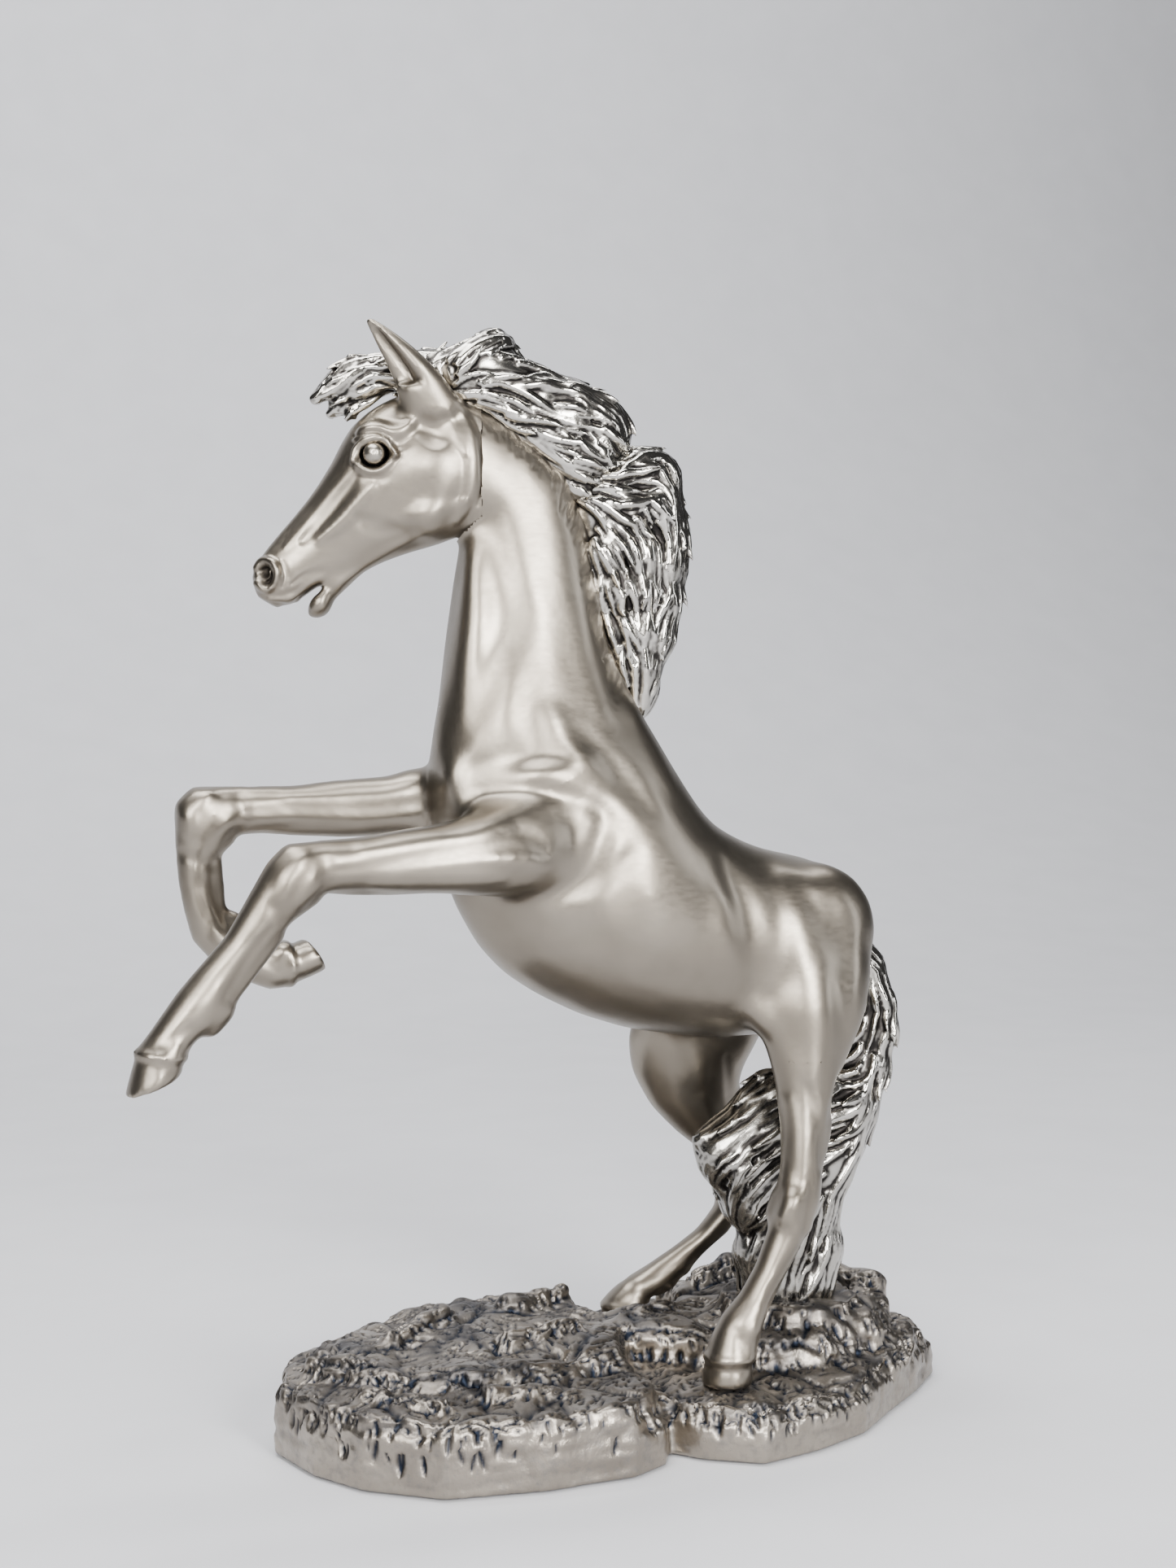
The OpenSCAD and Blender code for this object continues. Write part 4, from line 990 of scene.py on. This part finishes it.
def head():
    """The head with its ears, worked in its own straight frame and cut at its seam with the neck."""
    block = head_block()
    clay = Clay(block)
    p = clay.co / MM
    ears = ramp(p[:, 2], 373, 378)
    muzzle = ramp(-p[:, 0], 96, 112)
    socket = 1 - ramp(np.hypot(p[:, 0] - EYE_SPOT[0], p[:, 2] - EYE_SPOT[1]), 6, 10)
    clay.relax(84, 0.5 * (1 - 0.9 * ears) * (1 - 0.8 * muzzle) * (1 - 0.85 * socket))
    behind_eye = ramp(p[:, 0], -84, -78)
    clay.relax(44, 0.5 * np.exp(-((p[:, 2] - 370) / 7) ** 2) * behind_eye)
    clay.relax(20, 0.5 * np.exp(-((p[:, 2] - 376.5) / 2.5) ** 2) * behind_eye)
    cheek = np.exp(-(np.hypot(p[:, 0] + 63, p[:, 2] - 334) / 12) ** 2)
    clay.relax(70, 0.5 * cheek)
    work_head(clay)
    clay.aim()
    face = ramp(350 - p[:, 2], 0, 8) * (1 - ramp(-p[:, 0], 104, 110)) * ramp(-p[:, 0], 54, 58)
    clay.relax(24, 0.5 * face * (1 - socket))
    temple = ramp(p[:, 0], -80, -76) * ramp(p[:, 2], 352, 356) * ramp(374 - p[:, 2], 0, 4)
    clay.relax(14, 0.5 * temple)
    clay.relax(4, 0.4 * (1 - 0.5 * ears))
    # the dark ring pressed in round each eye
    ring = np.hypot((p[:, 0] - EYE_SPOT[0]) / 1.12, (p[:, 2] - EYE_SPOT[1]) / 0.96)
    outer = ramp(np.abs(p[:, 1]), 4, 7)
    clay.co -= clay.normal * (ramp(4.4 - ring, 0, 1.0) * outer * 1.5 * MM)[:, None]
    clay.patina = np.maximum(clay.patina, ramp(4.2 - ring, 0, 0.7) * outer)
    clay.relax(1, 0.4)
    deep = np.clip(clay.hollows(10, 0.6) - 0.3, 0, 1)
    clay.finish(extra=deep * 0.6)
    bm = bmesh.new()
    bm.from_mesh(block.data)
    for spot, turn in HEAD_SEAMS:
        bmesh.ops.bisect_plane(bm, geom=bm.verts[:] + bm.edges[:] + bm.faces[:], plane_co=Vector(spot) * MM,
                               plane_no=-outward(turn), clear_outer=True, dist=1e-7)
    close_ends(bm)
    bm.to_mesh(block.data)
    bm.free()
    turned_by(block, HEAD_FRAME, back=True)
    block.name = "head_skin"
    return hand_over(block, "satin_silver", "head_casting")


def eye_bead(side):
    """A turned bead: a ball with a dimpled pupil, on the stem that sits in the skull."""
    bm = bmesh.new()
    steps_round = 14
    profile = [(0, -6.7), (1.0, -6.7), (1.0, -3.2)]
    for k in range(steps_round + 1):
        a = math.radians(-70 + 142 * k / steps_round)
        profile.append((EYE_BALL * math.cos(a), EYE_BALL * math.sin(a)))
    profile += [(0.9, 3.79), (0.45, 3.74), (0, 3.73)]
    points = [bm.verts.new((r * MM, 0, h * MM)) for r, h in profile]
    edges = [bm.edges.new(pair) for pair in zip(points, points[1:])]
    bmesh.ops.spin(bm, geom=points + edges, cent=(0, 0, 0), axis=(0, 0, 1), angle=2 * math.pi, steps=40,
                   use_merge=True)
    bmesh.ops.remove_doubles(bm, verts=bm.verts, dist=1e-6)
    seat = Matrix.Translation(Vector((EYE_SPOT[0], side * EYE_OUT, EYE_SPOT[1])) * MM)
    outwards = Matrix.Rotation(side * -math.pi / 2, 4, "X")
    bmesh.ops.transform(bm, verts=bm.verts, matrix=seat @ outwards)
    bmesh.ops.recalc_face_normals(bm, faces=bm.faces)
    for f in bm.faces:
        f.smooth = True
    eye = "left_eye" if side == LEFT else "right_eye"
    piece = turned_by(from_bmesh(eye + "_bead", bm), HEAD_FRAME, back=True)
    return hand_over(piece, "eye_metal", eye)


head()
eye_bead(LEFT)
eye_bead(RIGHT)


# ---------- hair ----------
# Clumps: x, z, radius in side view, half width, and how far right of the middle where it isn't nought
FORELOCK = [(-103.5, 371.5, 1.8, 2.4, 12.5), (-100, 374.5, 3.0, 3.6, 11.5), (-95.5, 378, 4.4, 5, 10.5),
            (-97.5, 367.5, 1.6, 2.2, 14.5), (-94, 370.5, 2.8, 4, 13), (-90.5, 366.5, 1.8, 2.6, 9),
            (-88, 371, 2.8, 4, 9.5), (-89.5, 380.5, 6, 6.5, 10), (-85, 374.5, 3.8, 5, 9.5),
            (-82, 382, 6.6, 7, 8.5), (-74, 383, 7.6, 6.5, 6.5), (-66, 383, 8.4, 6.5, 4.5),
            (-58, 382, 9.5, 8, 2.5)]
UPPER_MANE = [(-54, 382, 9.5, 10), (-46, 386, 9, 11), (-41, 392, 6.5, 8), (-48, 376, 9, 11),
              (-37, 380, 10.5, 13), (-37, 370, 9, 12), (-26, 375, 10.5, 14), (-24, 363, 10, 12),
              (-14, 371, 11, 14), (-13, 356, 11, 13), (-3, 368, 10, 13), (3, 363, 8, 11), (-2, 357, 9, 13),
              (-8, 346, 9, 12)]
LOWER_MANE = [(4, 346, 9, 13), (14, 350, 9.5, 12), (22, 348, 9.5, 11), (-3, 336, 9, 12), (8, 334, 10, 14),
              (20, 336, 11, 13), (26, 328, 8.5, 11), (1, 321, 10, 12), (12, 320, 10, 13),
              (23, 317, 10.5, 12), (4, 306, 9, 11), (12, 306, 9, 12), (22, 302, 9.5, 11), (7, 292, 8, 10),
              (14, 292, 8.5, 11), (21, 289, 8.5, 10), (10, 280, 6.5, 8), (16, 279, 7.5, 9),
              (17, 271, 6.5, 7.5), (15, 264, 5, 6)]
TAIL = [(103, 172, 7.5, 8), (109, 162, 9.5, 10), (112, 150, 10, 12), (111, 138, 11, 13), (107, 124, 12, 14),
        (102, 110, 13, 15), (96, 98, 13, 15), (90, 88, 14, 15), (78, 98, 14, 15), (68, 101, 13, 14),
        (57, 101, 9, 11), (50, 100, 5.5, 8), (44.5, 100, 3.2, 5), (40.5, 100, 1.7, 3), (64, 111, 7, 10),
        (72, 116, 7, 11), (82, 115, 9, 13), (92, 114, 10, 14), (50, 93, 8, 11), (60, 89, 12, 14),
        (73, 82, 14, 15), (84, 72, 14, 14), (64, 76, 11, 13), (76, 62, 14, 14), (87, 56, 12, 13),
        (69, 56, 11, 12), (80, 44, 13, 13), (89, 42, 8.5, 10), (70, 42, 9, 10)]
# How the hair lies, in side view
FLOW = [
    [(-60, 378), (-75, 385), (-90, 381), (-104, 371)],
    [(-70, 376), (-82, 379), (-92, 373), (-98, 366)],
    [(-68, 380), (-58, 386), (-50, 391), (-40, 398)],
    [(-58, 376), (-44, 380), (-28, 380), (-12, 379), (4, 371), (9, 360)],
    [(-46, 372), (-28, 367), (-12, 361), (0, 353), (6, 352)],
    [(-12, 350), (0, 348), (12, 355), (22, 357), (31, 343), (33, 325), (31, 305), (25, 285), (17, 260)],
    [(-10, 342), (2, 338), (13, 338), (21, 325), (24, 305), (20, 285), (16, 262)],
    [(-5, 328), (3, 312), (7, 296), (13, 277), (16, 262)],
    [(100, 177), (113, 165), (118, 148), (114, 128), (106, 108), (99, 88), (93, 66), (89, 34)],
    [(97, 122), (82, 121), (66, 114), (52, 107), (39, 104)],
    [(95, 108), (80, 106), (66, 100), (53, 91), (44, 76)],
    [(93, 98), (80, 95), (66, 86), (55, 72), (50, 58)],
    [(92, 90), (80, 84), (70, 72), (64, 56), (66, 36)],
    [(95, 84), (88, 66), (82, 50), (80, 34)]]


def flow_at(spot):
    """The lie of the hair at a point in side view, in millimetres."""
    total = np.zeros(2)
    p = np.array((spot.x, spot.z)) / MM
    for line in FLOW:
        pts = np.array(line, float)
        a = pts[:-1]
        d = np.diff(pts, axis=0)
        t = np.clip(((p - a) * d).sum(1) / (d * d).sum(1), 0, 1)
        gap = np.linalg.norm(p - a - t[:, None] * d, axis=1)
        i = int(gap.argmin())
        w = 1 / (gap[i] ** 2 + 6) ** 1.5
        total += w * d[i] / np.linalg.norm(d[i])
    total /= np.linalg.norm(total) + 1e-9
    return Vector((total[0], 0, total[1]))


def lay_locks(mass, count, length, thick, rng, lift=0.9):
    """Tapered locks laid over a mass of hair along its flow, as one mesh."""
    tree = BVHTree.FromObject(mass, bpy.context.evaluated_depsgraph_get())
    verts = mass.data.vertices
    data = bpy.data.curves.new("locks", "CURVE")
    data.dimensions = "3D"
    data.bevel_depth = 1.0
    data.bevel_resolution = 2
    data.use_fill_caps = True
    steps_along = 12
    for _ in range(count):
        start = verts[rng.randrange(len(verts))].co
        spot, up, _, _ = tree.find_nearest(start)
        reach = length * (0.6 + 0.8 * rng.random())
        fat = thick * (0.65 + 0.75 * rng.random())
        wander = rng.uniform(-0.14, 0.14)
        swing = rng.uniform(0.05, 0.3)
        phase = rng.random() * 6.28
        path = []
        for k in range(steps_along + 1):
            t = k / steps_along
            flow = flow_at(spot)
            tangent = flow - up * flow.dot(up)
            if tangent.length < 1e-3:
                break
            tangent.normalize()
            cross = up.cross(tangent)
            tangent = (tangent + cross * (wander + swing * math.sin(phase + t * 5.0))).normalized()
            path.append((spot + up * MM * (fat * 0.15 + lift * t * t), t))
            spot, up, _, _ = tree.find_nearest(spot + tangent * reach * MM / steps_along)
        if len(path) < 5:
            continue
        spline = data.splines.new("POLY")
        spline.points.add(len(path) - 1)
        for point, (co, t) in zip(spline.points, path):
            point.co = (*co, 1)
            swell = math.sin(math.pi * min(1, 0.12 + t * 0.93)) ** 0.6 * (1 - 0.45 * t) + 0.06
            point.radius = fat * MM * swell
    curve = bpy.data.objects.new("locks", data)
    bpy.context.scene.collection.objects.link(curve)
    bpy.context.view_layer.update()
    mesh = bpy.data.meshes.new_from_object(curve.evaluated_get(bpy.context.evaluated_depsgraph_get()))
    bpy.data.objects.remove(curve)
    return new_piece("locks", mesh)


def keep_in_box(clay):
    """Holds every point a little inside the CAD model's box."""
    low, high = (np.array(c) for c in cad_box)
    clay.co = np.clip(clay.co, low + BOX_MARGIN, high - BOX_MARGIN)


def hair(name, slot_node, clumps, count, length, thick, seed, size=HAIR_GRAIN, tucked_shade=0.0, floor=None):
    """A casting of hair: a soft mass, long locks, finer ones between them and a few raised curls."""
    rng = random.Random(seed)
    mass = remesh(balls("mass", clumps), HAIR_MASS_GRAIN)
    clay = Clay(mass)
    clay.relax(60, 0.5)
    clay.co += clay.normal * 0.8 * MM
    clay.finish()
    locks = lay_locks(mass, count, length, thick, rng)
    fine = lay_locks(mass, int(count * 0.8), length * 0.7, thick * 0.66, rng, lift=1.3)
    curls = lay_locks(mass, count // 5, length * 0.5, thick * 1.05, rng, lift=3.6)
    piece = keep_outer_skin(remesh(joined(name, [mass, locks, fine, curls]), size))
    clay = Clay(piece)
    clay.relax(1, 0.35)
    keep_in_box(clay)
    if floor is not None:
        clay.co[:, 2] = np.maximum(clay.co[:, 2], floor * MM)
    clay.aim()
    depth = clay.hollows(10, 1.0)
    low, high = np.percentile(depth, (46, 84))
    # Painted shade: the front and lower part of the tail, in among the hind legs and under the rump, is
    # darkened by the given amount through the patina
    tucked_shade_mask = ramp(96 - clay.co[:, 0] / MM, 0, 24) * ramp(140 - clay.co[:, 2] / MM, 0, 20)
    clay.finish(extra=np.clip(ramp(depth, low, high) + tucked_shade * tucked_shade_mask, 0, 1))
    return hand_over(piece, "bright_silver", slot_node)


hair("forelock_hair", "forelock", FORELOCK, 70, 24, 1.25, 11)
hair("upper_mane_hair", "upper_mane", UPPER_MANE, 190, 34, 1.5, 12)
hair("lower_mane_hair", "lower_mane", LOWER_MANE, 220, 38, 1.6, 13)
# The tail's front and lower part, in among the hind legs, gets painted shade
hair("tail_hair", "tail", TAIL, 280, 40, 1.8, 14, size=TAIL_GRAIN, tucked_shade=0.3, floor=33)


# ---------- rock ----------
def gouge(clay, finder, spot, way, length, width, depth, stain=0.9):
    """One chisel mark: a short tapered groove, pressed in along the surface normal."""
    mid = spot + way * length * 0.5
    found = finder.find_range(mid * MM, (length * 0.6 + width) * MM)
    if not found:
        return
    idx = np.array([f[1] for f in found])
    rel = clay.co[idx] / MM - np.array(spot)
    along = rel @ np.array(way)
    t = np.clip(along / length, 0, 1)
    gap = np.linalg.norm(rel - np.outer(t * length, np.array(way)), axis=1)
    reach = width * (0.35 + 0.65 * np.sin(math.pi * np.clip(0.15 + 0.85 * t, 0, 1)))
    fall = np.clip(1 - gap / reach, 0, 1) ** 1.1
    clay.co[idx] -= clay.normal[idx] * (fall * depth * MM)[:, None]
    if stain:
        clay.patina[idx] = np.maximum(clay.patina[idx], fall * stain)


def chisel(clay, count, rng, choose, way_of, length, width, depth, stain=0.9):
    """Many chisel marks over the points that choose allows."""
    finder = KDTree(len(clay.co))
    for i, c in enumerate(clay.co):
        finder.insert(c, i)
    finder.balance()
    spots = np.nonzero(choose(clay.co / MM, clay.normal))[0]
    for _ in range(count):
        i = int(spots[rng.randrange(len(spots))])
        spot = Vector(clay.co[i] / MM)
        up = Vector(clay.normal[i])
        way = way_of(spot, up, rng)
        way = way - up * way.dot(up)
        if way.length < 0.2:
            continue
        way.normalize()
        size = 0.6 + 0.8 * rng.random()
        deep = depth * (0.6 + 0.8 * rng.random())
        gouge(clay, finder, spot, way, length * size, width * size, deep, stain)


def downhill(spot, up, rng):
    """Marks that run down the slope, a little astray."""
    return Vector((up.x, up.y, -1.2)) + Vector((rng.uniform(-0.5, 0.5), rng.uniform(-0.5, 0.5), 0))


def grass(spot, up, rng):
    """Marks that lie in swirls, as combed grass does."""
    turn = noise.noise(spot * 0.035) * 5.0 + rng.uniform(-0.6, 0.6)
    return Vector((math.cos(turn), math.sin(turn), 0.15))


def facet(q):
    """How near a point is to a joint between the blocks that the rock breaks into, 0 to 1."""
    gaps, _ = noise.voronoi(Vector((q[0] / 27, q[1] / 24, q[2] / 17)), distance_metric="DISTANCE")
    near = min(max((gaps[1] - gaps[0]) / 0.22, 0), 1)
    return (1 - near) ** 2


# A boulder laid on the rock near the tail, as balls
BOULDER = [(90, 27, 12, 12, -14), (100, 25, 11, 11, -12)]


def cut_with(block, tool, way):
    """Cuts a block with a closed tool, which is used up."""
    cut = block.modifiers.new("cut", "BOOLEAN")
    cut.operation = way
    cut.object = tool
    cut.solver = "MANIFOLD"
    settle(block)
    drop(tool)


def rock():
    """The rock: ledges and boulders roughened, then tooled, then hollowed for its plate and felt."""
    castings = cad_copy("castings", ["rock_base", "base_plate", "felt_pad"])
    block = joined("rock", [castings, balls("boulder", BOULDER)])
    block = keep_outer_skin(remesh(block, ROCK_GRAIN))
    clay = Clay(block)
    p = clay.co / MM
    clay.relax(5, 0.5)
    clay.relax(10, 0.5 * ramp(p[:, 2], 17, 21))
    lump = np.array([noise.noise(Vector(q) * 0.045) + 0.5 * noise.noise(Vector(q) * 0.12) for q in p])
    ledge = np.array([noise.noise(Vector((q[0] * 0.05 + 9, q[1] * 0.05, q[2] * 0.35))) for q in p])
    crack = np.array([facet(q) for q in p])
    top = ramp(clay.normal[:, 2], 0.0, 0.6) * ramp(p[:, 2], 12, 18)
    side = (1 - ramp(np.abs(clay.normal[:, 2]), 0.3, 0.7)) * ramp(p[:, 2], 1, 5)
    shape = lump * 2.6 * top - crack * 1.5 * top + (ledge * 0.6 + lump * 0.8 - crack * 0.5) * side
    shape = np.minimum(shape, ramp(p[:, 2], 4, 14) * 3)
    clay.co += clay.normal * (shape * MM)[:, None]
    clay.relax(2, 0.4)
    rng = random.Random(7)
    clay.patina = top * np.clip(0.26 + 0.5 * lump + 0.5 * crack, 0, 0.75)

    def on_top(q, n):
        on_boulder = np.hypot((q[:, 0] - 95) / 16, (q[:, 1] + 13) / 13) < 1
        return (n[:, 2] > 0.55) & (q[:, 2] > 14) & ~on_boulder

    def on_brinks(q, n):
        return (n[:, 2] > 0.12) & (n[:, 2] < 0.8) & (q[:, 2] > 12)

    def on_band(q, n):
        return (np.abs(n[:, 2]) < 0.4) & (q[:, 2] > 14) & (q[:, 2] < 20)

    chisel(clay, 3000, rng, on_top, grass, 5.6, 0.85, 0.9, stain=0.95)
    chisel(clay, 1000, rng, on_brinks, downhill, 5.2, 1.35, 1.35)
    chisel(clay, 90, rng, on_band, downhill, 5.5, 1.5, 1.3, stain=0.85)
    keep_in_box(clay)
    deep = np.clip(clay.hollows(8, 0.9), 0, 1)
    clay.finish(extra=deep * 0.8)
    cavity = rock_cavity()
    cut_with(block, rim_box(), "INTERSECT")
    cut_with(block, cavity, "DIFFERENCE")
    block.name = "rock_skin"
    return hand_over(block, "patinated_rock", "rock_base")


def rim_box():
    """Everything above the rim of the rock, a little off the table."""
    low, high = cad_box
    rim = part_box("rock_base")[0].z
    bm = bmesh.new()
    bmesh.ops.create_cube(bm, size=1.0)
    for v in bm.verts:
        v.co.x = low.x - 0.01 if v.co.x < 0 else high.x + 0.01
        v.co.y = 0.3 * v.co.y
        v.co.z = rim if v.co.z < 0 else 0.1
    return from_bmesh("rim_box", bm)


def rock_cavity():
    """The hollow under the rock: a block inside its walls, less the rock casting itself."""
    bm = bmesh.new()
    bm.from_mesh(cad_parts["felt_pad"].data)
    bmesh.ops.remove_doubles(bm, verts=bm.verts, dist=MERGE)
    bmesh.ops.dissolve_limit(bm, angle_limit=0.02, verts=bm.verts, edges=bm.edges)
    middle = 0.5 * (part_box("felt_pad")[0].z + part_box("felt_pad")[1].z)
    bm.normal_update()
    moved = {v: Vector((v.normal.x, v.normal.y, 0)).normalized() * 1.45 * MM for v in bm.verts}
    for v, shift in moved.items():
        v.co += shift
        v.co.z = -1 * MM if v.co.z < middle else 19.6 * MM
    block = from_bmesh("cavity", bm)
    cut_with(block, cad_copy("casting", ["rock_base"]), "DIFFERENCE")
    return block


rock()


# ---------- hardware ----------
for name in PLUG_NODES + ["left_hind_stud", "right_hind_stud", "tail_stud", "stud_washers", "stud_nuts",
                          "base_plate", "plate_screws"]:
    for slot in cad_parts[name].material_slots:
        slot.material = FINISH["plain_steel"]
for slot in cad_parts["felt_pad"].material_slots:
    slot.material = FINISH["felt"]
